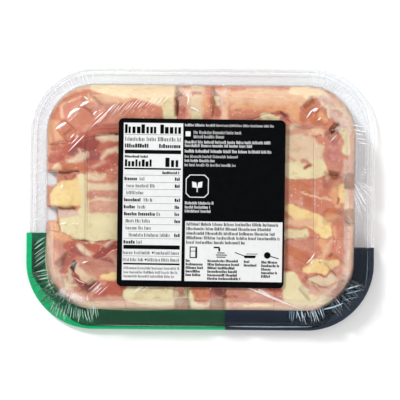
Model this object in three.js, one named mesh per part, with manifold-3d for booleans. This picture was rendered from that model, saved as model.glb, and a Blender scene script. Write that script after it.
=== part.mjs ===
// A sealed pack of raw boneless chicken thighs, lying on its front with its underside up: a clear
// tray upside down, the thighs pressed into it, one clear wrap drawn tight round both, and the
// label on the back. Millimetres, +Z up; the pack lies on z = 0 with its centre on the Z axis.
import * as THREE from "three";
import { mergeVertices } from "three/addons/utils/BufferGeometryUtils.js";
import Module from "manifold-3d";

const wasm = await Module();
wasm.setup();

// The pack's outline, seen from above
const PACK_LENGTH = 217;
const PACK_WIDTH = 165;
const PACK_CORNER = 42;
const CORNER_STEPS = 9;

// Heights, from the surface that the pack lies on
const WRAP_THICKNESS = 0.3;
const CLEARANCE = 0.3;
const WRAP_TOP = 41;
const TRAY_FLOOR = WRAP_THICKNESS + CLEARANCE;
const TRAY_TOP = WRAP_TOP - WRAP_THICKNESS - CLEARANCE;

// The tray. Insets are measured inwards from the pack's outline.
const TRAY_WALL = 0.6;
const RIM_INSET = 0.65;
const RIM_HEIGHT = 4.9;
const FLANGE_INSET = 2.3;
const BEAD_INSET = 6;
const BEAD_HEIGHT = 0.8;
const BEAD_WIDTH = 1.6;
const WALL_FOOT_INSET = 11.4;
const WALL_HEAD_INSET = 19.4;
const SHOULDER = 4.2;
const BASE_INSET = 22.6;

// The recess in the middle of the tray's base
const PANEL_LENGTH = 136;
const PANEL_WIDTH = 85.2;
const PANEL_CORNER = 7.2;
const PANEL_DEPTH = 1.6;

// The paired flutes that stiffen the tray's edges, and the slant across each of its corners
const FLUTE_SPACING = 22;
const FLUTE_DROP = 2;
const FLUTE_DEPTH = 7;
const SIDE_FLUTE = { width: 8, start: -13, wall: 0.4, foot: TRAY_FLOOR + TRAY_WALL };
const CORNER_FLUTE = { width: 6.4, start: 5.5, wall: 15, foot: TRAY_TOP - FLUTE_DEPTH };
const SLANT_START = 13.5;
const SLANT_RUN = 12;
const SLANT_DROP = 18.4;
const SLANT_WIDTH = 60;

// The thighs' seams
const SEAM_WIDTH = 4.6;
const SEAM_DEPTH = 5;
const FOLD_WIDTH = 2.6;
const FOLD_DEPTH = 1.8;

// The back label
const LABEL = { length: 100.2, width: 100.9, corner: 3, thickness: 0.25, x: 0.3, y: -3.45, turn: -0.3 };

const FAR = 70;

// Where the seams between the thighs meet, seen from above. Points beyond the tray are cut off by it.
const MEETINGS = {
  nw: [-112, 84],
  n1: [-14.5, 84],
  n2: [16.5, 84],
  ne: [112, 84],
  e1: [112, 41],
  e2: [112, 12],
  e3: [112, -25],
  e4: [112, -52],
  se: [112, -84],
  s3: [46, -84],
  s2: [-8, -84],
  s1: [-45, -84],
  sw: [-112, -84],
  w2: [-112, -21],
  w1: [-112, 30],
  a1: [-83, 33],
  a2: [-62, 36.5],
  a3: [-42, 38],
  a4: [-14.5, 30],
  b1: [14, 29],
  b2: [16.5, 45],
  c1: [28, 46],
  c2: [39, 50.5],
  c3: [48, 50.5],
  c4: [55, 44],
  c5: [63, 41.5],
  c6: [71, 43.5],
  c7: [80, 41],
  f1: [28, 11],
  f2: [69, 11],
  f3: [78, 15],
  f4: [90, 12],
  g1: [28, -26],
  g2: [51, -25],
  g3: [68, -23.5],
  g4: [80, -25],
  j1: [44, -42],
  j2: [59, -44],
  j3: [64, -48],
  j4: [71, -50.5],
  j5: [78, -53],
  j6: [85, -50],
  k1: [45, -58],
  h1: [-7, -40],
  h2: [-40, -31],
  h3: [-47, -54],
  m1: [-6, 0],
  d1: [-84, -21.5],
  d2: [-74, -26],
  d3: [-64, -27.5],
  d4: [-53, -26],
};

// Each thigh's outline, counter-clockwise, by the names of the points it passes
const THIGHS = {
  thigh_top_left: ["nw", "w1", "a1", "a2", "a3", "a4", "n1"],
  thigh_top_middle: ["n1", "a4", "b1", "b2", "n2"],
  thigh_top_right: ["n2", "b2", "c1", "c2", "c3", "c4", "c5", "c6", "c7", "e1", "ne"],
  thigh_right_upper: ["b2", "b1", "f1", "f2", "f3", "f4", "e2", "e1", "c7", "c6", "c5", "c4", "c3", "c2", "c1"],
  thigh_right_middle: ["f1", "g1", "g2", "g3", "g4", "e3", "e2", "f4", "f3", "f2"],
  thigh_right_lower: ["g1", "j1", "j2", "j3", "j4", "j5", "j6", "e4", "e3", "g4", "g3", "g2"],
  thigh_bottom_right: ["j1", "k1", "s3", "se", "e4", "j6", "j5", "j4", "j3", "j2"],
  thigh_bottom_middle: ["h1", "s2", "s3", "k1", "j1", "g1"],
  thigh_bottom_centre: ["h2", "h3", "s1", "s2", "h1"],
  thigh_bottom_left: ["w2", "sw", "s1", "h3", "h2", "d4", "d3", "d2", "d1"],
  thigh_left: ["w1", "w2", "d1", "d2", "d3", "d4", "h2", "a3", "a2", "a1"],
  thigh_centre_left: ["a3", "h2", "h1", "m1", "a4"],
  thigh_centre_right: ["a4", "m1", "h1", "g1", "f1", "b1"],
};

// Folds between the muscles of one thigh, as lines across its flattened top
const FOLDS = [
  [[-88, 18], [-66, 21], [-50, 29]],
  [[-68, 9], [-50, 12]],
  [[-80, -34], [-76, -43], [-70, -53], [-60, -60]],
  [[-72, -28], [-68, -38], [-56, -36], [-50, -30]],
  [[52, 1], [66, 2], [80, -1]],
  [[56, -14], [79, -13]],
  [[66, -28], [76, -34], [84, -42]],
  [[60, 17], [72, 21], [74, 40]],
  [[30, 54], [58, 56], [74, 60]],
  [[14, -58], [24, -61], [36, -60]],
];

// A closed solid from rings of as many points each, which run counter-clockwise seen from +Z. The
// first ring is closed by a face looking down and the last by one looking up; hooped rings, which
// lie round a closed section, join up instead.
function loft(rings, hooped = false) {
  const count = rings[0].length;
  const positions = rings.flat().flatMap((p) => [p.x, p.y, p.z]);
  const index = [];
  const last = hooped ? rings.length : rings.length - 1;
  for (let i = 0; i < last; i++) {
    const low = i * count;
    const high = ((i + 1) % rings.length) * count;
    for (let j = 0; j < count; j++) {
      const next = (j + 1) % count;
      index.push(low + j, low + next, high + next, low + j, high + next, high + j);
    }
  }
  if (!hooped) {
    const top = (rings.length - 1) * count;
    for (let j = 1; j < count - 1; j++) {
      index.push(0, j + 1, j, top, top + j, top + j + 1);
    }
  }
  const geometry = new THREE.BufferGeometry();
  geometry.setAttribute("position", new THREE.Float32BufferAttribute(positions, 3));
  geometry.setIndex(index);
  return geometry;
}

// The points of a rounded rectangle at one height
function roundedRing(halfLength, halfWidth, radius, z) {
  const corners = [[1, 1], [-1, 1], [-1, -1], [1, -1]];
  return corners.flatMap(([sx, sy], quarter) =>
    Array.from({ length: CORNER_STEPS + 1 }, (_, step) => {
      const angle = (Math.PI / 2) * (quarter + step / CORNER_STEPS);
      return new THREE.Vector3(
        sx * (halfLength - radius) + radius * Math.cos(angle),
        sy * (halfWidth - radius) + radius * Math.sin(angle),
        z,
      );
    }),
  );
}

// The pack's outline, drawn in by an inset, at one height
function packRing([inset, z]) {
  return roundedRing(PACK_LENGTH / 2 - inset, PACK_WIDTH / 2 - inset, PACK_CORNER - inset, z);
}

function solidOf(geometry) {
  const bare = geometry.clone();
  bare.deleteAttribute("normal");
  bare.deleteAttribute("uv");
  const merged = mergeVertices(bare, 1e-4);
  return new wasm.Manifold(
    new wasm.Mesh({
      numProp: 3,
      vertProperties: new Float32Array(merged.attributes.position.array),
      triVerts: new Uint32Array(merged.index.array),
    }),
  );
}

function geometryOf(solid) {
  const mesh = solid.getMesh();
  const geometry = new THREE.BufferGeometry();
  geometry.setAttribute("position", new THREE.BufferAttribute(mesh.vertProperties, 3));
  geometry.setIndex(new THREE.BufferAttribute(mesh.triVerts, 1));
  geometry.computeVertexNormals();
  return geometry;
}

const union = (solids) => solids.reduce((all, one) => all.add(one));

// A section drawn in the plane of "outwards" and Z, made as wide as given across that plane
function slab(section, width, origin, heading, aside) {
  const shape = new THREE.Shape(section.map(([out, z]) => new THREE.Vector2(out, z)));
  const geometry = new THREE.ExtrudeGeometry(shape, { depth: width, bevelEnabled: false, steps: 1 });
  const outwards = new THREE.Vector3(Math.cos(heading), Math.sin(heading), 0);
  const up = new THREE.Vector3(0, 0, 1);
  const across = new THREE.Vector3().crossVectors(outwards, up);
  const place = new THREE.Vector3(...origin, 0).addScaledVector(across, aside - width / 2);
  geometry.applyMatrix4(new THREE.Matrix4().makeBasis(outwards, up, across).setPosition(place));
  return solidOf(geometry);
}

// The eight places with a pair of flutes: the middle of each side, and each corner
function flutePlaces() {
  const baseLength = PACK_LENGTH / 2 - WALL_HEAD_INSET - 1;
  const baseWidth = PACK_WIDTH / 2 - WALL_HEAD_INSET - 1;
  const places = [];
  for (let side = 0; side < 4; side++) {
    const heading = (Math.PI / 2) * side;
    const edge = side % 2 ? baseWidth : baseLength;
    places.push({ origin: [0, 0], heading, edge, flute: SIDE_FLUTE });
    const corner = heading + Math.PI / 4;
    const origin = [
      Math.sign(Math.cos(corner)) * (PACK_LENGTH / 2 - PACK_CORNER),
      Math.sign(Math.sin(corner)) * (PACK_WIDTH / 2 - PACK_CORNER),
    ];
    places.push({ origin, heading: corner, edge: 0, flute: CORNER_FLUTE });
  }
  return places;
}

// Everything pressed into the tray's outside: the flutes, the corner slants and the base's recess.
// With a depth, each is larger by that much, for what lies further in.
function pressings(deeper) {
  const parts = [];
  const top = TRAY_TOP - deeper;
  for (const { origin, heading, edge, flute } of flutePlaces()) {
    const start = edge + flute.start - deeper;
    const wall = edge + flute.wall - deeper;
    const foot = flute.foot - deeper;
    const floorEnd = top - FLUTE_DEPTH;
    const section = [
      [wall, foot],
      [FAR * 2, foot],
      [FAR * 2, FAR],
      [start, FAR],
      [start, top - FLUTE_DROP],
    ];
    if (floorEnd > foot + CLEARANCE) section.push([wall, floorEnd]);
    for (const aside of [-FLUTE_SPACING / 2, FLUTE_SPACING / 2]) {
      parts.push(slab(section, flute.width + 2 * deeper, origin, heading, aside));
    }
    if (flute === CORNER_FLUTE) {
      const slant = [
        [SLANT_START - deeper, top],
        [SLANT_START + SLANT_RUN - deeper, top - SLANT_DROP],
        [FAR, top - SLANT_DROP],
        [FAR, FAR],
        [SLANT_START - deeper, FAR],
      ];
      parts.push(slab(slant, SLANT_WIDTH, origin, heading, 0));
    }
  }
  const recess = [top - PANEL_DEPTH, FAR].map((z) =>
    roundedRing(PANEL_LENGTH / 2 + deeper, PANEL_WIDTH / 2 + deeper, PANEL_CORNER + deeper, z),
  );
  parts.push(solidOf(loft(recess)));
  return union(parts);
}

// The solid that fills the tray's plain form, without its pressings, from a height up to its base
function trayBody(deeper, from) {
  const profile = [
    [WALL_FOOT_INSET + deeper, from],
    [WALL_FOOT_INSET + deeper, TRAY_FLOOR + 1],
    [WALL_HEAD_INSET + deeper, TRAY_TOP - SHOULDER],
    [WALL_HEAD_INSET + 1 + deeper, TRAY_TOP - SHOULDER / 2 - deeper / 2],
    [BASE_INSET + deeper / 2, TRAY_TOP - deeper],
  ];
  return solidOf(loft(profile.map(packRing)));
}

// The flange with its bead and its turned-up rim
function trayFlange() {
  const top = TRAY_FLOOR + TRAY_WALL;
  const under = [
    [WALL_FOOT_INSET + TRAY_WALL, TRAY_FLOOR],
    [FLANGE_INSET, TRAY_FLOOR],
    [RIM_INSET, RIM_HEIGHT],
  ];
  const over = [
    [RIM_INSET + TRAY_WALL, RIM_HEIGHT],
    [FLANGE_INSET + TRAY_WALL, top],
    [BEAD_INSET - BEAD_WIDTH / 2, top],
    [BEAD_INSET - BEAD_WIDTH / 4, top + BEAD_HEIGHT],
    [BEAD_INSET + BEAD_WIDTH / 4, top + BEAD_HEIGHT],
    [BEAD_INSET + BEAD_WIDTH / 2, top],
    [WALL_FOOT_INSET + TRAY_WALL, top],
  ];
  return solidOf(loft([...under, ...over].map(packRing), true));
}

function tray() {
  const shell = trayBody(0, TRAY_FLOOR).subtract(pressings(0)).add(trayFlange());
  const hollow = trayBody(TRAY_WALL, -1).subtract(pressings(TRAY_WALL));
  return shell.subtract(hollow);
}

// The wrap's section, from the middle of the front out round the rim and in over the base
function wrapSection(deeper) {
  return [
    [3 + deeper, deeper],
    [0.9 + deeper, 0.2 + deeper],
    [deeper, 1.6],
    [deeper, RIM_HEIGHT + 0.1],
    [0.6 + deeper, RIM_HEIGHT + CLEARANCE + 0.9 - deeper / 2],
    [WALL_HEAD_INSET - 1 + deeper / 2, WRAP_TOP - 1.8 - deeper],
    [WALL_HEAD_INSET + 1 + deeper / 2, WRAP_TOP - 0.4 - deeper],
    [BASE_INSET + deeper / 2, WRAP_TOP - deeper],
  ];
}

// One bag round tray and thighs. A gap that the label covers leaves its hollow open.
function wrap() {
  const gapShare = 0.12;
  const gapRing = (z) => packRing([BASE_INSET, z]).map((p) => new THREE.Vector3(p.x * gapShare, p.y * gapShare, z));
  return solidOf(
    loft([
      ...wrapSection(0).map(packRing),
      gapRing(WRAP_TOP),
      gapRing(WRAP_TOP - WRAP_THICKNESS),
      ...wrapSection(WRAP_THICKNESS).reverse().map(packRing),
    ]),
  );
}

// A groove with a pointed bottom along a straight line, cut down from a flat top, or up from a
// flat underside when the depth is below zero
function groove([x0, y0], [x1, y1], width, level, depth) {
  const overrun = 0.8;
  const beyond = Math.sign(depth) * 3;
  const mouth = ((width / 2) * (depth + beyond)) / depth;
  const start = new THREE.Vector3(x0, y0, 0);
  const end = new THREE.Vector3(x1, y1, 0);
  const lead = end.clone().sub(start).normalize();
  const side = new THREE.Vector3(-lead.y, lead.x, 0).multiplyScalar(Math.sign(depth));
  start.addScaledVector(lead, -overrun);
  end.addScaledVector(lead, overrun);
  const section = [[mouth, level + beyond], [-mouth, level + beyond], [0, level - depth]];
  const rings = [start, end].map((point) =>
    section.map(([out, z]) => point.clone().addScaledVector(side, out).setZ(z)),
  );
  return solidOf(loft(rings));
}

// Each edge that two thighs share, as its two end points
function sharedEdges() {
  const seen = new Map();
  for (const outline of Object.values(THIGHS)) {
    outline.forEach((name, i) => {
      const key = [name, outline[(i + 1) % outline.length]].sort().join(" ");
      seen.set(key, (seen.get(key) ?? 0) + 1);
    });
  }
  return [...seen].filter(([, uses]) => uses === 2).map(([key]) => key.split(" ").map((name) => MEETINGS[name]));
}

// What all the thighs fill together: the tray's hollow less the seams and folds
function meat() {
  const bottom = TRAY_FLOOR + CLEARANCE;
  const inside = TRAY_WALL + CLEARANCE;
  const filled = trayBody(inside, bottom).subtract(pressings(inside));
  const flat = TRAY_TOP - inside;
  const cuts = sharedEdges().flatMap(([a, b]) => [
    groove(a, b, SEAM_WIDTH, flat, SEAM_DEPTH),
    groove(a, b, SEAM_WIDTH, bottom, -SEAM_DEPTH),
  ]);
  for (const line of FOLDS) {
    for (let i = 0; i < line.length - 1; i++) {
      cuts.push(groove(line[i], line[i + 1], FOLD_WIDTH, flat - PANEL_DEPTH, FOLD_DEPTH));
    }
  }
  return filled.subtract(union(cuts));
}

// An outline drawn in by half the clearance, so that neighbours don't touch
function drawnIn(names) {
  const points = names.map((name) => new THREE.Vector2(...MEETINGS[name]));
  const count = points.length;
  const edges = points.map((p, i) => {
    const lead = points[(i + 1) % count].clone().sub(p).normalize();
    const inwards = new THREE.Vector2(-lead.y, lead.x);
    return { point: p.clone().addScaledVector(inwards, CLEARANCE / 2 + 0.05), lead };
  });
  return edges.map((edge, i) => {
    const before = edges[(i + count - 1) % count];
    const cross = before.lead.cross(edge.lead);
    if (Math.abs(cross) < 1e-6) return edge.point;
    const along = edge.point.clone().sub(before.point).cross(edge.lead) / cross;
    return before.point.clone().addScaledVector(before.lead, along);
  });
}

function thighs() {
  const all = meat();
  return Object.entries(THIGHS).map(([name, outline]) => {
    const shape = new THREE.Shape(drawnIn(outline));
    const column = new THREE.ExtrudeGeometry(shape, { depth: FAR, bevelEnabled: false, steps: 1 });
    return [name, all.intersect(solidOf(column))];
  });
}

function label() {
  const rings = [0, LABEL.thickness].map((z) => roundedRing(LABEL.length / 2, LABEL.width / 2, LABEL.corner, z));
  return loft(rings);
}

const MATERIALS = {
  tray: new THREE.MeshStandardMaterial({ color: 0xe9eef0, roughness: 0.12, transparent: true, opacity: 0.3 }),
  wrap: new THREE.MeshStandardMaterial({ color: 0xf4f7f8, roughness: 0.08, transparent: true, opacity: 0.2 }),
  label: new THREE.MeshStandardMaterial({ color: 0x0b0c0d, roughness: 0.4 }),
  meat: new THREE.MeshStandardMaterial({ color: 0xdb9a80, roughness: 0.35 }),
};

function piece(name, geometry, material) {
  const mesh = new THREE.Mesh(geometry, material);
  mesh.name = name;
  return mesh;
}

const pack = new THREE.Group();
pack.add(piece("tray", geometryOf(tray()), MATERIALS.tray));
pack.add(piece("wrap", geometryOf(wrap()), MATERIALS.wrap));
for (const [name, solid] of thighs()) {
  pack.add(piece(name, geometryOf(solid), MATERIALS.meat));
}
const back = piece("label", label(), MATERIALS.label);
back.position.set(LABEL.x, LABEL.y, WRAP_TOP + CLEARANCE);
back.rotation.z = THREE.MathUtils.degToRad(LABEL.turn);
pack.add(back);

export default pack;
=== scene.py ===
"""The looks of a sealed pack of raw boneless chicken thighs that lies face down: a clear tray, the
thighs pressed into it, a clear wrap printed along one edge of its front, and the black back label.
Sizes are in millimetres until a mesh is made. Tissues and creases are placed by photograph pixels."""

import itertools
import math

import bpy
import numpy as np
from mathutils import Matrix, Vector
from mathutils.bvhtree import BVHTree
from mathutils.kdtree import KDTree


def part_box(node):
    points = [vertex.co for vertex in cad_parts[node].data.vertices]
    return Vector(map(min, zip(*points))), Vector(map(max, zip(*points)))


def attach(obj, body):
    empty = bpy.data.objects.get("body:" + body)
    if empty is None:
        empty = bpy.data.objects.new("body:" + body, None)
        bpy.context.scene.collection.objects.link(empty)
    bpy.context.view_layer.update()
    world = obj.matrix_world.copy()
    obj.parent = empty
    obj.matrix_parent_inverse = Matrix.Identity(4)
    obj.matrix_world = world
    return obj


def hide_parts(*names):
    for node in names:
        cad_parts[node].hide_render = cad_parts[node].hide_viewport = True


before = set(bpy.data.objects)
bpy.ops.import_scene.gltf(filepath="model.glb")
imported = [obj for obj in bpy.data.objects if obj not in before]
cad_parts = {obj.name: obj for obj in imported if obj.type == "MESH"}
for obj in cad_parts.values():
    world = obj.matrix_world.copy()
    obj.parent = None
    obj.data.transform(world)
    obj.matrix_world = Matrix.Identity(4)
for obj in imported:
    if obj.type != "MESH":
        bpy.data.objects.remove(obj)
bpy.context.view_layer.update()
MM = 0.001

# The pack's outline, from the frame
HALF_LENGTH, HALF_WIDTH, WRAP_TOP = np.array(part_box("wrap")[1]) / MM
PACK_CORNER = 42
LABEL_LOW, LABEL_HIGH = (np.array(corner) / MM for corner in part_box("label"))
LABEL_MIDDLE = (LABEL_LOW + LABEL_HIGH) / 2
LABEL_LENGTH = 100.2
LABEL_WIDTH = 100.9
LABEL_TURN = math.radians(-0.3)

# The tray. Insets are measured inwards from the pack's outline.
TRAY_SHEET = 0.45
TRAY_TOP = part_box("tray")[1].z / MM
FLANGE_TOP = 1.2
RIM_TOP = 4.9
WALL_FOOT_INSET = 11.4
WALL_HEAD_INSET = 19.4
SHOULDER = 4.2
BASE_INSET = 24
PANEL_INSET = 40
PANEL_CORNER = 7.2
PANEL_DEPTH = 1.6
FLUTE_SPACING = 22
FLUTE_DROP = 2
FLUTE_DEPTH = 7
FLUTE_MARGIN = 1
SIDE_FLUTE = {"width": 7.6, "start": -13, "wall": 0.4, "foot": FLANGE_TOP}
CORNER_FLUTE = {"width": 6.4, "start": 5.5, "wall": 15, "foot": TRAY_TOP - FLUTE_DEPTH}
SLANT_START = 13.5
SLANT_FALL = 18.4 / 12
SLANT_HALF = 32
SLANT_ROUND = 0.7
SLANT_END_INSET = WALL_FOOT_INSET - 2
# Where a flute's wall, start and sides and the panel's edge begin and end, as distances from them
FLUTE_WALL_SPAN = (-0.4, 0.9)
FLUTE_START_SPAN = (-1.2, 1)
FLUTE_SIDE_SPAN = (0.6, -0.8)
PANEL_SPAN = (0.5, -0.5)

# The camera looks straight down. The photograph is 400 pixels square.
CAMERA_HEIGHT = 966
CAMERA_ANGLE = math.radians(14.79)
CAMERA_X = -0.4
CAMERA_Y = -1.5
CAMERA_TURN = math.radians(0.5)
PHOTO_SIDE = 400

# Tissues: colour as it shows through the pack, how fatty, how far it lies back from the tray, how
# far its edge rolls back, and how many pixels its edge fades over
TISSUES = {
    "salmon": ((212, 138, 116), 0.0, 0.0, 0.3, 1.6),
    "pink": ((208, 146, 130), 0.0, 0.0, 0.3, 1.8),
    "red": ((192, 104, 88), 0.0, 0.15, 0.3, 1.4),
    "deep": ((163, 82, 74), 0.0, 0.4, 0.3, 1.5),
    "plum": ((166, 94, 92), 0.1, 0.3, 0.2, 1.6),
    "orange": ((203, 124, 94), 0.0, 0.0, 0.3, 1.6),
    "tan": ((232, 188, 158), 0.3, 0.0, 0.3, 2.4),
    "peach": ((228, 168, 130), 0.3, 0.0, 0.3, 2.6),
    "rose": ((218, 166, 148), 0.3, 0.0, 0.2, 2.6),
    "lilac": ((224, 190, 180), 0.7, 0.0, 0.2, 2.4),
    "pale": ((228, 202, 176), 0.8, 0.0, 0.2, 2.4),
    "cream": ((229, 214, 176), 1.0, 0.0, 0.35, 1.4),
    "ivory": ((242, 217, 183), 1.0, 0.0, 0.35, 1.6),
    "yellow": ((240, 210, 153), 1.0, 0.0, 0.35, 1.4),
    "mauve": ((200, 128, 124), 0.0, 0.0, 0.3, 3.0),
    # Painted light: amber is orange painted brighter and more saturated for flutes that lie in shade
    "amber": ((224, 130, 80), 0.2, 0.3, 0.0, 1.4),
    # Painted shade: brown and gap darken creases, nicks, seams and flute edges, where the surface also
    # lies back; brown also marks a few flecks
    "brown": ((168, 98, 64), 0.2, 0.7, 0.0, 1.2),
    "gap": ((80, 22, 14), 0.0, 1.2, 0.0, 1.0),
}

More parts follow.
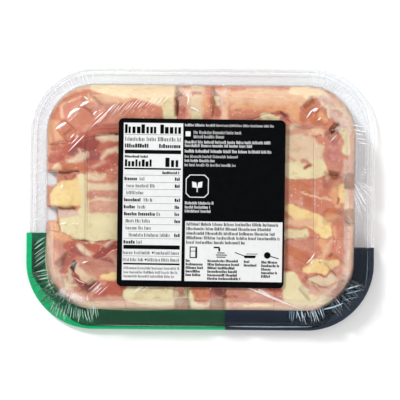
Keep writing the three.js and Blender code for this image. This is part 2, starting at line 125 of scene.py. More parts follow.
# The thighs' surface as strokes over each other: a tissue, then points of x, y and half-width
STROKES = {
    # Upper left
    "upper left muscle": ("salmon", [(70, 126, 14), (95, 114, 17), (130, 112, 15), (166, 112, 8)]),
    "upper left pale streak": ("tan", [(86, 99, 4), (106, 97, 4), (126, 100, 3)]),
    "upper left sheen": ("pink", [(100, 104, 4), (116, 110, 5), (112, 118, 5)]),
    "upper left fat": (
        "ivory", [(84, 84, 4), (104, 87, 6), (126, 89, 9), (146, 90, 12), (166, 92, 14)],
    ),
    "upper left fat end": ("cream", [(168, 104, 6), (170, 118, 6)]),
    "corner lobe": ("orange", [(57, 116, 8), (66, 102, 8), (80, 95, 7)]),
    "corner lobe middle": ("salmon", [(66, 112, 5), (76, 102, 4), (84, 104, 3)]),
    "corner rim fat": ("tan", [(51, 108, 3), (58, 96, 4), (72, 89, 3), (86, 86, 2.5)]),
    "corner vein": ("tan", [(63, 118, 1.4), (61, 107, 1.6), (68, 101, 1), (80, 96, 1)]),
    "left wall muscle": ("peach", [(48, 112, 3), (47, 150, 3.5), (47, 172, 3)]),
    "left corner lobe": ("peach", [(56, 124, 5), (58, 135, 5)]),
    "left flute muscle": ("orange", [(65, 130, 4.5), (72, 138, 4)]),
    "left notch": ("brown", [(51, 145, 1.4), (57, 144, 1.2), (64, 141, 0.7)]),
    "left notch floor": ("red", [(52, 149, 2.4), (59, 147, 2)]),
    "panel corner muscle": ("red", [(70, 147, 8), (84, 143, 9), (100, 132, 6), (118, 131, 4)]),
    "panel corner dark": ("deep", [(78, 150, 5), (92, 145, 7), (96, 138, 3)]),
    "left pink muscle": ("red", [(52, 158, 5), (60, 156, 5)]),
    "plum lobe": ("plum", [(72, 152, 4), (88, 156, 5), (97, 155, 4)]),
    "upper seam": ("gap", [(95, 139, 0.7), (103, 136, 1.1), (110, 134, 0.8), (120, 134, 0.8)]),
    "seam fat": ("pale", [(97, 139, 1.4), (107, 138, 3.2), (120, 139, 4)]),
    "seam muscle": ("red", [(100, 147, 3.5), (110, 145, 3.5), (120, 145, 3)]),
    "left membrane": ("pale", [(68, 162, 1.6), (78, 158, 3.6), (86, 154, 3)]),
    "membrane tip": ("pale", [(79, 151, 1.2), (81, 157, 2)]),
    "right membrane": ("pale", [(102, 158, 1.8), (108, 153, 3.4), (120, 149, 3)]),
    "middle muscle": ("red", [(90, 165, 5), (104, 165, 6), (118, 160, 6)]),
    "middle muscle pale": ("rose", [(92, 166, 2), (104, 161, 2)]),
    "left bar": ("orange", [(64, 166, 3.6), (84, 166, 4)]),
    "left ring": ("tan", [(57, 167, 4)]),
    "ring vein": ("ivory", [(54, 169, 0.9), (55, 164, 0.9), (59, 163.5, 0.9)]),
    # Painted shade along the upper edge of the upper left flute
    "left slot edge": ("brown", [(53, 172, 1.2), (66, 172, 1.4), (77, 171, 1)]),
    "left slot muscle": ("salmon", [(61, 177, 4), (71, 176, 4)]),
    "left slot crease": ("deep", [(64, 176, 0.6), (69, 181, 0.8), (74, 176, 0.6)]),
    # Left
    "left fat": ("yellow", [(56, 199, 9), (66, 194, 14), (78, 192, 13)]),
    "left fat pale": ("cream", [(81, 178, 5), (84, 190, 4), (85, 206, 4)]),
    "left wall red": ("salmon", [(48, 186, 2.5), (47, 206, 3)]),
    # Painted shade along the upper edge of the lower left flute
    "lower slot edge shade": ("brown", [(54, 209.3, 1), (75, 209, 1)]),
    "lower slot fat": ("lilac", [(62, 215, 5), (74, 215, 5)]),
    "wide fat": ("cream", [(66, 230, 11), (90, 228, 15), (116, 227, 14)]),
    "wide fat upper": ("cream", [(84, 212, 6), (98, 216, 6)]),
    "slot muscle strip": ("peach", [(53, 214, 4), (54, 230, 5)]),
    "slot strip line": ("brown", [(58, 210, 0.9), (59, 222, 0.9), (59, 232, 0.7)]),
    "band one": ("pale", [(89, 176, 4), (104, 176, 3.6)]),
    "band red": ("salmon", [(108, 171, 3), (117, 174, 5), (112, 181, 2.6), (104, 182, 1.4)]),
    "band two": ("pale", [(90, 187, 4), (118, 186, 3.4)]),
    "band three": ("pink", [(90, 195, 4), (118, 194, 4)]),
    "band three vein": ("pale", [(90, 200, 1.6), (104, 200, 2), (118, 201, 1)]),
    "band four": ("rose", [(92, 208, 5), (118, 208, 6)]),
    "fat ragged edge": (
        "brown",
        [(66, 236, 0.8), (73, 240, 1.2), (79, 241.6, 1.5), (86, 240, 1), (92, 245, 1), (99, 242, 0.8),
         (106, 243, 0.7), (109, 240.5, 0.9), (114, 243, 0.7)],
    ),
    # Lower left
    "lower left muscle": ("pink", [(56, 246, 10), (57, 264, 11), (60, 280, 9)]),
    "lower left wall": ("tan", [(46, 236, 3), (45, 262, 3.4), (50, 284, 3)]),
    "lower left top": ("peach", [(52, 234, 4), (62, 237, 4), (70, 239, 2.6)]),
    "under fat muscle": ("red", [(68, 245, 4), (78, 246, 4.5), (90, 247, 4.5), (98, 249, 3.5)]),
    "fold muscle": ("red", [(72, 254, 4.5), (66, 262, 4.5), (62, 271, 4)]),
    # Painted light: lifts the shade in the lower left flute's notch
    "lower left sheen": ("rose", [(55, 252, 4), (57, 263, 4.6), (56, 272, 4)]),
    "fold rim": ("tan", [(76, 272, 1.4), (67, 275, 1.2), (58, 276, 0.9)]),
    "lower fat lobe": ("pale", [(79, 247, 3.4), (84, 252, 3.4), (88, 256, 2)]),
    "fold plum": ("plum", [(73, 250, 2.6), (80, 256, 2.4), (87, 259, 1.8)]),
    "plum chunk": ("deep", [(96, 258, 4), (104, 252, 4.6), (112, 247, 4), (116, 246, 3)]),
    "plum chunk lower": ("plum", [(103, 260, 3), (112, 265, 3.4)]),
    "chunk side": ("rose", [(112, 257, 2), (117, 262, 3), (116, 270, 3)]),
    "chunk cap": ("lilac", [(106, 246, 1.6), (112, 243, 1.2)]),
    "round muscle": ("pink", [(87, 266, 9.5), (100, 268, 8), (112, 268, 3.6)]),
    "round muscle fat": ("pale", [(78, 270, 3.4), (84, 278, 4.6), (92, 280, 3.6)]),
    "small yellow fat": ("yellow", [(102, 277, 2.6), (110, 275, 4.4), (120, 275, 4)]),
    "deep gap": (
        "gap",
        [(76, 262, 1.4), (73, 268, 2.7), (73, 273, 2.2), (77, 279, 1.7), (83, 285, 1.6), (88, 290, 1.4)],
    ),
    "gap side": ("deep", [(75, 275, 2.4), (81, 284, 2.6), (88, 288, 3.4), (96, 284, 3)]),
    "corner muscle": ("salmon", [(56, 285, 5), (64, 292, 4.6), (74, 284, 2)]),
    "corner fat loop": (
        "pale", [(70, 271, 1.6), (71, 280, 2.4), (68, 287, 1.8), (74, 294, 2), (82, 297, 2)],
    ),
    "corner fat loop side": ("cream", [(66, 279, 0.9), (67, 286, 1.2), (76, 285, 1.6)]),
    "corner notch": ("orange", [(71, 292, 2.2), (77, 290, 2)]),
    "corner strip": ("salmon", [(77, 288, 2.6), (84, 295, 3)]),
    "bottom red muscle": ("red", [(94, 290, 5), (108, 288, 7), (122, 289, 6)]),
    "bottom red sheen": ("rose", [(90, 294, 2), (98, 287, 1.4), (104, 283, 1.6)]),
    "bottom pale band": ("rose", [(84, 300, 2.8), (104, 299, 2.8), (126, 299, 3.4)]),
    "bottom wall fat": ("tan", [(70, 304, 3.4), (100, 306, 3.6), (130, 307, 3.4)]),
    # Bottom
    "bottom fat": ("cream", [(131, 294, 8), (150, 297, 12), (168, 297, 12)]),
    "bottom fat foot": ("tan", [(128, 307.5, 2.4), (172, 308.5, 2.2)]),
    "bottom slot one": ("salmon", [(176, 286, 4), (184, 289, 5)]),
    "bottom slot one low": ("pale", [(178, 299, 4), (184, 300, 4)]),
    "bottom middle fat": ("cream", [(189, 290, 4), (190, 302, 4), (198, 308, 4), (208, 304, 3)]),
    "bottom middle muscle": ("orange", [(198, 288, 7), (201, 295, 8), (205, 302, 3.6)]),
    "bottom slot two": ("deep", [(213, 287, 2.8), (218, 290, 3.6)]),
    "bottom slot two low": ("pink", [(214, 299, 4), (219, 300, 3.4)]),
    "bottom right muscle": ("pink", [(228, 293, 6), (242, 297, 9), (262, 298, 9), (280, 298, 7)]),
    "bottom right rim": ("tan", [(225, 302, 3), (228, 308, 3)]),
    "bottom right crease": ("brown", [(222, 296, 0.6), (229, 298, 0.8), (236, 297, 0.5)]),
    "bottom yellow strip": ("yellow", [(244, 306, 1.6), (258, 305, 2), (270, 307, 1.4)]),
    "bottom rose": ("rose", [(250, 291, 4), (266, 294, 4)]),
    "bottom red patch": ("red", [(272, 288, 3), (280, 290, 2.6)]),
    # Top
    "top slot one": ("rose", [(181, 98, 6), (181, 108, 6)]),
    "top slot one low": ("red", [(180, 109, 5), (181, 114, 4)]),
    # Painted reflection: the film's whitish reflection over the first top flute
    "top slot one veil": ("lilac", [(178, 85, 3), (181, 90, 4), (186, 93, 2)]),
    "top slot one bars": ("pink", [(178, 90, 0.7), (186, 93.5, 0.7)]),
    # Painted shade along the left edge of the first top flute
    "top slot one side": ("brown", [(176, 90, 1), (176.5, 113, 1.4)]),
    "top ridge": ("pale", [(197, 92, 8), (196, 108, 9)]),
    "top ridge foot": ("cream", [(196, 116, 6)]),
    "top ridge red": ("pink", [(191, 93, 1.8), (201, 93.5, 1.8)]),
    "top ridge peach": ("peach", [(206, 97, 3), (206, 110, 3.4)]),
    "top slot two": ("cream", [(217, 95, 3.6), (217, 104, 3)]),
    "top slot two low": ("red", [(216, 109, 3), (219, 114, 4)]),
    "top slot two side": ("orange", [(213, 93, 1.2), (213.5, 112, 2)]),
    "top right strip": ("tan", [(226, 90, 4), (225, 104, 4), (225, 117, 4)]),
    # Painted reflection: the film's whitish reflection beside the second top flute
    "top right veil": ("lilac", [(222, 96, 2), (223, 106, 2)]),
    "top tan muscle": ("tan", [(238, 98, 9), (262, 97, 10), (286, 98, 9), (300, 101, 8)]),
    "top tan streak": ("peach", [(234, 107, 3), (262, 108, 3), (292, 109, 4)]),
    "top pink muscle": ("salmon", [(236, 114, 4), (250, 114, 6), (262, 117, 5)]),
    "top small fat": ("cream", [(264, 116, 3.4), (276, 117, 4)]),
    "top nick": ("brown", [(236, 110, 0.8), (240, 109, 0.6)]),
    "top gap": ("red", [(271, 113, 1.2), (279, 113, 2.6), (285, 117, 3.4), (290, 120, 1)]),
    "top gap low": ("gap", [(280, 112, 0.8), (287, 116, 1)]),
    # Upper right
    "upper right fat": ("ivory", [(292, 90, 4), (306, 92, 6), (320, 93, 5), (328, 96, 3)]),
    "upper right fat low": ("ivory", [(308, 98, 4)]),
    "upper right peach": ("peach", [(292, 110, 7), (298, 118, 5)]),
    "upper right muscle": ("orange", [(304, 117, 6), (315, 117, 8), (324, 118, 7.5)]),
    "upper right muscle lit": ("peach", [(322, 116, 4), (326, 120, 3)]),
    "upper right slot": ("amber", [(304, 109, 2.4), (309, 105, 3), (313, 102, 2.4)]),
    "right corner base": ("lilac", [(324, 100, 5), (336, 106, 9), (345, 120, 8), (347, 132, 5)]),
    "right corner rose": ("rose", [(326, 101, 2.6), (332, 103, 2.4)]),
    "right corner tan": ("peach", [(335, 100, 2), (343, 104, 2.2)]),
    "right corner patch": ("pink", [(336, 111, 2.2), (341, 113, 2.4)]),
    "right corner vein": ("ivory", [(322, 103, 1.2), (328, 109, 1.4), (331, 117, 1.2)]),
    "right corner vein two": ("cream", [(334, 108, 0.9), (344, 108, 0.9), (348, 116, 0.9)]),
    "right corner edge": ("tan", [(348, 110, 1.4), (352, 122, 1.6), (353, 134, 1.4)]),
    "right pale base": ("pale", [(294, 132, 8), (296, 150, 14), (306, 150, 14), (318, 152, 9)]),
    "right pale fat": ("cream", [(292, 170, 9), (306, 170, 10), (318, 168, 9)]),
    "right pale rose": ("rose", [(288, 132, 3), (302, 131, 3), (307, 134, 3)]),
    "right pale stain": ("rose", [(288, 156, 1.6), (293, 159, 2)]),
    "right tan tongue": ("tan", [(311, 132, 4), (320, 132, 4.6)]),
    "tongue rim": ("pink", [(302, 124, 1.6), (312, 126.5, 1), (324, 128, 1.2)]),
    "tongue nick": ("plum", [(315, 137.5, 0.7), (321, 136, 0.6)]),
    "right dusk": ("pink", [(326, 133, 3), (329, 139, 3)]),
    # Painted shade in the upper right corner flute
    "right slot": ("brown", [(332, 129, 2.6), (336, 125, 2.8)]),
    "right slot deep": ("gap", [(331.5, 131, 1.3)]),
    "right slot low": ("brown", [(338, 132, 1.8)]),
    "right pink muscle": ("pink", [(334, 142, 6), (332, 155, 10), (334, 166, 6.5)]),
    "right pink heart": ("mauve", [(334, 143, 4), (333, 157, 6)]),
    "right fat": ("cream", [(344, 131, 3.4), (347, 142, 4), (346, 151, 4)]),
    "right wall upper": ("peach", [(352.5, 128, 1.6), (353, 150, 1.6)]),
    "right wall muscle": ("pink", [(352.5, 156, 2.4), (353, 188, 2.4)]),
    # Painted reflection: the film's whitish reflection on the right wall
    "right wall lilac": ("lilac", [(346, 162, 3), (345, 176, 3)]),
    "right notch": ("pink", [(302, 160.5, 2), (308, 161.5, 1.8)]),
    "right notch deep": ("deep", [(304.5, 167, 1.7), (309, 165, 2.2)]),
    # Right
    # Painted shade in the upper flute of the right side
    "right slot two": ("brown", [(328, 173, 3), (335, 175, 4)]),
    "right slot two pale": ("tan", [(326, 171, 1.6), (327, 178, 2)]),
    "right muscle": (
        "salmon", [(292, 188, 9), (305, 189, 10), (320, 190, 9), (318, 203, 7), (304, 203, 6)],
    ),
    "right muscle heart": ("orange", [(294, 184, 4), (306, 188, 6), (310, 204, 4)]),
    "right muscle glow": ("peach", [(336, 184, 3.6), (334, 194, 5), (338, 203, 4)]),
    "right muscle fat": ("yellow", [(341, 186, 3), (343, 200, 2.6)]),
    "right wall pale": ("ivory", [(346, 190, 2), (347, 208, 2)]),
    "right nick": ("brown", [(339, 198, 1.2), (338, 203, 1.2)]),
    "right yellow fat": (
        "yellow", [(290, 209, 5), (300, 215, 6), (314, 222, 9), (326, 228, 9), (324, 236, 4)],
    ),
    "right yellow fat low": ("cream", [(288, 234, 4), (304, 234, 4)]),
    "right pink band": ("tan", [(288, 222, 4), (300, 222, 4.4), (313, 224, 4)]),
    "right slot three": ("amber", [(328, 211, 3), (336, 211, 3)]),
    "right slot three low": ("peach", [(329, 217, 4), (335, 217, 4)]),
    "right strip": ("salmon", [(336, 227, 5), (337, 244, 5.4), (338, 258, 4.4)]),
    "right strip glow": ("peach", [(334, 227, 2), (335, 238, 1.6)]),
    # Painted reflection: the film's whitish reflection on the lower right wall
    "right wall band": ("lilac", [(346, 222, 1.6), (346.5, 250, 2), (346, 282, 2.6)]),
    "right wall foot": ("peach", [(352.5, 200, 1.6), (352, 240, 1.6), (351, 276, 1.6)]),
    # Lower right
    "lower right muscle": ("salmon", [(291, 248, 9), (306, 250, 9.5), (316, 247, 6), (300, 261, 8)]),
    "lower right heart": ("orange", [(292, 252, 5), (304, 258, 5)]),
    "lower right dusk": ("pink", [(288, 242, 2), (312, 244, 4)]),
    "lower right tan": ("peach", [(322, 242, 4), (325, 250, 4)]),
    "lower right tendon": ("tan", [(331, 240, 1.2), (326, 250, 1.4), (322, 258, 1.6)]),
    "lower right slot": ("amber", [(327, 257, 3.2), (333, 258, 2.8)]),
    "lower right slot deep": ("deep", [(330, 255, 2)]),
    "lower right yellow": ("yellow", [(306, 270, 4), (314, 266, 7.5), (326, 268, 7), (336, 263, 4)]),
    "lower right big fat": ("cream", [(290, 280, 8), (294, 294, 11), (312, 300, 9), (328, 302, 5)]),
    "lower right pieces": ("pale", [(312, 281, 4), (324, 282, 5), (333, 279, 5)]),
    "lower right pieces low": ("rose", [(314, 290, 5), (328, 291, 4)]),
    "lower right crease": ("brown", [(310, 278, 0.8), (318, 276, 0.7), (328, 277, 0.6), (331, 272, 0.6)]),
    "lower right crease two": ("brown", [(312, 283, 0.5), (322, 286, 0.6), (333, 288, 0.7)]),
    "lower right slot two": ("red", [(306, 278, 2.8), (303, 282, 2.4)]),
    "lower right rose": ("pink", [(337, 273, 2.6), (342, 276, 2.4)]),
    "lower right plum": ("deep", [(343, 283, 2.6), (339, 288, 3), (333, 291, 2)]),
    "lower right loop": ("tan", [(338, 279, 1), (337, 286, 1.4), (331, 289, 1)]),
    "lower right wall": ("tan", [(240, 309, 2), (280, 310, 2.6), (320, 309, 2.4)]),
    "fleck one": ("brown", [(319.5, 264, 0.9)]),
    "fleck two": ("brown", [(304, 236, 1)]),
    "fleck three": ("brown", [(333.5, 238, 1)]),
    "tendon": ("ivory", [(302, 193.4, 0.5), (313, 195, 0.6), (322, 196.5, 0.6), (330, 199.5, 0.5)]),
}

# Painted highlight and shade colours of the wrap's folds: the light tones are painted highlights, and the
# grey, dark green, dark red and near-black tones are painted shade
FOLD_TONES = {
    "bright": (252, 252, 253),
    "grey": (196, 198, 202),
    "mint": (196, 236, 218),
    "forest": (4, 72, 42),
    "steel": (176, 208, 226),
    "cream": (246, 226, 196),
    "red_shade": (140, 70, 60),
    "ink": (14, 18, 26),
}

# Rows of folds in photograph pixels, painted as highlights or shade by their tone: tone, strength,
# half-width, first start, step, count, run
FOLD_ROWS = {
    "upper left long": ("bright", 1.0, 0.6, (91.5, 127), (0, 0), 1, (24, -23)),
    "upper left second": ("bright", 0.8, 0.45, (97, 124), (0, 0), 1, (10, -10)),
    "upper left mid": ("bright", 0.9, 0.5, (94.4, 119.6), (0, 0), 1, (9, -8)),
    "upper left short": ("bright", 1.0, 0.9, (93, 114.5), (0, 0), 1, (4, -3.6)),
    "top row": ("bright", 0.9, 0.42, (106, 113), (3.9, -0.6), 15, (10, -11)),
    "top row low": ("bright", 0.4, 0.4, (112, 116), (6.5, -0.8), 7, (5, -5.5)),
    "panel corner long": ("bright", 1.0, 0.6, (68, 152), (0, 0), 1, (16.5, -17)),
    "panel corner mid": ("bright", 0.9, 0.5, (71, 144), (0, 0), 1, (8, -8.5)),
    "panel corner short": ("bright", 0.9, 0.7, (70.5, 138), (0, 0), 1, (3.5, -4)),
    "gap row": ("bright", 0.7, 0.3, (68.5, 267), (2, 0.6), 4, (9, -8)),
    "lower left row": ("bright", 0.75, 0.5, (88, 291), (2.4, 1), 5, (11, -10)),
    "bottom fat row": ("bright", 0.45, 0.6, (131, 293), (5, -0.6), 3, (9, -7)),
    "right slot row": ("bright", 0.8, 0.45, (334, 130.5), (1.8, 1), 3, (5, -5)),
    "right slot low": ("bright", 0.75, 0.5, (330, 142), (0, 0), 1, (7, -7.5)),
    "left skirt grey": ("grey", 0.35, 0.7, (34, 128), (0, 7), 15, (12, -8)),
    "left skirt bright": ("bright", 0.5, 0.5, (34, 131), (0, 9), 11, (12, -8)),
    "left skirt green": ("mint", 0.85, 0.6, (34.5, 245), (0, 4.6), 6, (13, -9.5)),
    "left skirt thin": ("mint", 0.6, 0.4, (36, 243), (0, 6.1), 5, (10, -8)),
    "left skirt low": ("mint", 0.8, 0.6, (36, 272), (0.8, 4), 3, (12, -2)),
    "lower left leaf thin": ("mint", 0.45, 0.4, (41, 288), (2, 3.4), 6, (13, 5.5)),
    "right skirt row": ("bright", 1.0, 0.9, (353, 125.2), (1.4, 4.4), 5, (13, 2.4)),
    "right skirt small": ("bright", 0.85, 0.5, (361, 168.6), (-0.6, 2.8), 4, (7, 1.6)),
    "right wall nicks": ("red_shade", 0.6, 0.5, (347, 217), (-0.8, 3.2), 4, (5.5, 7)),
    "right wall nicks light": ("bright", 0.7, 0.4, (348, 216), (-0.8, 3.2), 4, (5.5, 7)),
    "lower right row": ("bright", 0.85, 0.5, (297, 310), (4.4, -0.4), 6, (5, 14)),
}

# Fans of folds round the corners, painted as highlights or shade by their tone: tone, strength,
# half-width, centre, angles, radii, count
FOLD_FANS = {
    "upper left": ("grey", 0.3, 0.8, (95, 133), (184, 268), (47, 65), 26),
    "upper left bright": ("bright", 0.5, 0.5, (95, 133), (184, 268), (46, 62), 20),
    "upper right": ("grey", 0.16, 0.8, (306, 133), (272, 355), (47, 66), 24),
    "upper right bright": ("bright", 0.35, 0.5, (306, 133), (276, 352), (42, 60), 30),
    "lower left hairs": ("mint", 0.9, 0.55, (80, 236), (76, 112), (66, 88), 26),
    "lower left white hairs": ("bright", 0.7, 0.35, (84, 258), (84, 128), (34, 50), 24),
    "lower left glare": ("bright", 0.3, 1.3, (84, 258), (94, 128), (36, 46), 14),
    "lower left side hairs": ("mint", 0.7, 0.5, (92, 262), (146, 172), (40, 56), 8),
    "lower left dark folds": ("forest", 1.0, 0.9, (96, 256), (118, 166), (52, 74), 19),
    "lower right": ("steel", 0.85, 0.6, (300, 240), (70, 100), (66, 84), 13),
    "lower right dark": ("ink", 0.85, 2.6, (305, 262), (20, 60), (46, 66), 8),
    "lower right lines": ("steel", 0.5, 0.5, (305, 262), (30, 62), (45, 66), 8),
    "right skirt rays": ("bright", 1.0, 0.8, (346, 171), (32, 74), (13, 52), 14),
    "right skirt grey rays": ("grey", 0.6, 0.8, (346, 171), (36, 76), (17, 50), 8),
}

# Single painted highlights, and painted shade lines along the base panel's edges: tone, strength,
# half-width, then the points that each passes
GLINTS = {
    "upper left pillow": ("bright", 1.0, 2.0, [(67.5, 118), (71, 113), (75, 110), (80, 108.5)]),
    "upper left slot": ("bright", 1.0, 1.9, [(80, 106), (84, 103.5), (89, 101.5)]),
    "upper left slot end": ("bright", 0.8, 0.8, [(84, 96.5), (88, 99.5)]),
    "left slot bar": ("bright", 1.0, 1.9, [(56, 129), (60, 126), (66.5, 122.5)]),
    # Painted shade lines along the base panel's edges
    "panel side": ("red_shade", 0.5, 0.5, [(92, 131), (88.5, 135), (87.5, 141), (87.3, 180), (87.3, 236)]),
    "panel upper side": ("red_shade", 0.45, 0.5, [(91.5, 131.5), (95, 129.5), (101, 128.8), (119, 128.8)]),
    "panel right side": ("red_shade", 0.3, 0.5, [(313.5, 134), (313.5, 180), (313.5, 250)]),
    "upper right pillow": ("bright", 0.9, 0.9, [(306.5, 118), (311, 111.5), (315, 108.5), (318, 108)]),
    "upper right pillow wide": ("bright", 0.6, 2.2, [(313, 111), (318, 108.5)]),
    "upper right dot": ("bright", 0.85, 0.7, [(317.5, 120.5), (321, 117.5)]),
    "left fat dot": ("bright", 0.8, 1.0, [(60.5, 187), (63.5, 185)]),
    "slot dot": ("bright", 0.7, 1.1, [(61, 224), (66, 222.5)]),
    "lower left dot": ("bright", 0.7, 1.0, [(82, 263), (88, 261)]),
    "panel right edge": ("bright", 0.12, 0.8, [(315, 138), (315, 180), (315, 252)]),
    "panel corner glint": ("bright", 0.8, 0.8, [(306, 264), (311, 259), (315, 253)]),
    "lower right sheet": ("bright", 0.45, 1.8, [(246, 287), (266, 295), (288, 304), (302, 309)]),
    "lower right sheet two": ("bright", 0.4, 2.6, [(258, 289), (272, 298)]),
    "lower right edge": ("bright", 0.6, 0.6, [(334, 297), (338, 301), (342, 307)]),
    "lower right band": ("steel", 0.75, 3.0, [(323, 309), (333, 307), (343, 303)]),
    "lower right lens": ("steel", 0.85, 1.6, [(346, 289), (354, 286.5), (361, 285)]),
    "lower right lens low": ("steel", 0.6, 1.0, [(345, 294), (354, 291.5), (362, 290)]),
    "lower right lens edge": ("steel", 0.5, 0.8, [(342, 301), (350, 298), (358, 297)]),
    "top ridge glint": ("bright", 0.7, 0.8, [(187, 92), (188.5, 99), (187, 106)]),
    "top ridge glint two": ("bright", 0.6, 1.0, [(190, 107), (195, 109), (199, 112)]),
    "bottom rail green": ("mint", 0.35, 1.4, [(96, 324.5), (160, 325.5), (225, 326)]),
    "bottom rail navy": ("steel", 0.75, 1.7, [(228, 326), (270, 326.5), (312, 326.5)]),
    "navy side line": ("steel", 0.5, 0.6, [(367.5, 250), (367, 270), (365, 288)]),
    "left wall foot": ("cream", 0.45, 0.8, [(46.5, 236), (46, 262), (49, 283), (57, 297)]),
    "bottom wall foot": ("cream", 0.4, 0.8, [(94, 308.5), (130, 309.5), (172, 309.5)]),
    "left bottom curve": ("bright", 0.5, 0.6, [(74, 277), (79, 281), (86, 283.5)]),
}

# Scattered specks of light where the meat touches the tray: left, top, right, bottom and count
SPECKS = [
    (52, 150, 118, 172, 26), (84, 172, 119, 215, 26), (52, 180, 84, 245, 22), (56, 245, 118, 300, 34),
    (90, 86, 170, 120, 26), (172, 84, 226, 117, 22), (228, 88, 300, 116, 16), (300, 92, 350, 150, 36),
    (288, 150, 345, 215, 34), (288, 215, 350, 300, 30), (125, 288, 300, 306, 34),
]


NOISE_VALUES = 4096
NOISE_PRIMES = np.array([73856093, 19349663, 83492791])


def smoothstep(low, high, value):
    share = np.clip((value - low) / (high - low), 0, 1)
    return share * share * (3 - 2 * share)


def blend(first, second, share):
    return first + (second - first) * share


def cloud(points, size, seed):
    """Smooth noise from -1 to 1 at points in millimetres or pixels, with features of about that size."""
    table = np.random.default_rng(seed).uniform(-1, 1, NOISE_VALUES)
    primes = NOISE_PRIMES[: points.shape[-1]]
    scaled = points / size
    cell = np.floor(scaled).astype(np.int64)
    part = scaled - cell
    part = part * part * (3 - 2 * part)
    total = np.zeros(points.shape[:-1])
    for corner in itertools.product((0, 1), repeat=points.shape[-1]):
        weight = np.prod(np.where(corner, part, 1 - part), axis=-1)
        total += weight * table[((cell + corner) @ primes) % NOISE_VALUES]
    return total


def clouds(points, layers):
    """Layers of smooth noise added up, each with its size, seed and reach."""
    return sum(reach * cloud(points, size, seed) for size, seed, reach in layers)


def at_height(plan, height):
    """Plan points with a height each, or with one height for all."""
    heights = np.broadcast_to(np.asarray(height, float), plan.shape[:-1])
    return np.concatenate([plan, heights[..., None]], -1)


def photo_pixels(points):
    """Where points in millimetres show in the photograph, as pixels from its upper left corner."""
    scale = (CAMERA_HEIGHT - points[..., 2]) * 2 * math.tan(CAMERA_ANGLE / 2) / PHOTO_SIDE
    x = points[..., 0] - CAMERA_X
    y = points[..., 1] - CAMERA_Y
    across = x * math.cos(CAMERA_TURN) + y * math.sin(CAMERA_TURN)
    up = y * math.cos(CAMERA_TURN) - x * math.sin(CAMERA_TURN)
    return np.stack([PHOTO_SIDE / 2 + across / scale, PHOTO_SIDE / 2 - up / scale], -1)


def outline(count):
    """Points round the pack's outline and the directions inwards from them, counter-clockwise."""
    straights = [2 * (HALF_WIDTH - PACK_CORNER), 2 * (HALF_LENGTH - PACK_CORNER)] * 2
    arc = PACK_CORNER * math.pi / 2
    along = np.arange(count) / count * (sum(straights) + 4 * arc)
    points = np.zeros((count, 2))
    inwards = np.zeros((count, 2))
    start = 0
    for side, straight in enumerate(straights):
        heading = side * math.pi / 2
        out = np.array([math.cos(heading), math.sin(heading)])
        ahead = np.array([-out[1], out[0]])
        reach = (HALF_LENGTH if side % 2 == 0 else HALF_WIDTH) - PACK_CORNER
        on_side = (along >= start) & (along < start + straight)
        step = along[on_side, None] - start - straight / 2
        points[on_side] = out * (reach + PACK_CORNER) + ahead * step
        inwards[on_side] = -out
        start += straight
        on_arc = (along >= start) & (along < start + arc)
        turn = heading + (along[on_arc] - start) / PACK_CORNER
        radial = np.stack([np.cos(turn), np.sin(turn)], -1)
        points[on_arc] = out * reach + ahead * straight / 2 + radial * PACK_CORNER
        inwards[on_arc] = -radial
        start += arc
    return points, inwards


def rings_at(columns, insets, shares):
    """Plan points of rings drawn in from the outline, then shrunk to a share of their size."""
    points, inwards = columns
    insets = np.asarray(insets, float)[:, None, None]
    shares = np.asarray(shares, float)[:, None, None]
    return (points + inwards * insets) * shares


def ring_stops(runs, shrinking):
    """Insets and shares for rings: even runs of start, end and count, then the last ring shrunk."""
    outer = np.concatenate([np.linspace(*run) for run in runs])
    shares = np.concatenate([np.linspace(*run) for run in shrinking])
    insets = np.concatenate([outer, np.full(len(shares), outer[-1])])
    return insets, np.concatenate([np.ones(len(outer)), shares])


def inset_of(plan):
    """How far inside the pack's outline a plan point lies."""
    past = np.abs(plan) - np.array([HALF_LENGTH - PACK_CORNER, HALF_WIDTH - PACK_CORNER])
    outside = np.linalg.norm(np.maximum(past, 0), axis=-1)
    return PACK_CORNER - outside - np.minimum(np.max(past, axis=-1), 0)


def curve(points, rounding=0.35, steps=8):
    """A polyline with its corners rounded, as dense values of inset and height."""
    points = np.array(points, float)
    made = [points[0]]
    for before, corner, after in zip(points[:-2], points[1:-1], points[2:]):
        start = corner + (before - corner) * rounding
        end = corner + (after - corner) * rounding
        for share in np.linspace(0, 1, steps):
            made.append(blend(blend(start, corner, share), blend(corner, end, share), share))
    made.append(points[-1])
    return np.array(made).T


TRAY_PROFILE = curve([
    (0.7, RIM_TOP), (2.2, 1.7), (3.2, FLANGE_TOP), (5, FLANGE_TOP), (5.6, 2), (6.4, 2), (7, FLANGE_TOP),
    (10.6, FLANGE_TOP), (WALL_FOOT_INSET, 1.9), (WALL_HEAD_INSET, TRAY_TOP - SHOULDER),
    (20.9, TRAY_TOP - 0.6), (BASE_INSET, TRAY_TOP), (60, TRAY_TOP),
])


def flute_places():
    """The paired flutes at the middle of each side and at each corner: origin, heading, edge, sizes."""
    for side in range(4):
        heading = side * math.pi / 2
        edge = (HALF_LENGTH if side % 2 == 0 else HALF_WIDTH) - WALL_HEAD_INSET - FLUTE_MARGIN
        yield (0, 0), heading, edge, SIDE_FLUTE
        corner = heading + math.pi / 4
        x = math.copysign(HALF_LENGTH - PACK_CORNER, math.cos(corner))
        y = math.copysign(HALF_WIDTH - PACK_CORNER, math.sin(corner))
        yield (x, y), corner, 0, CORNER_FLUTE


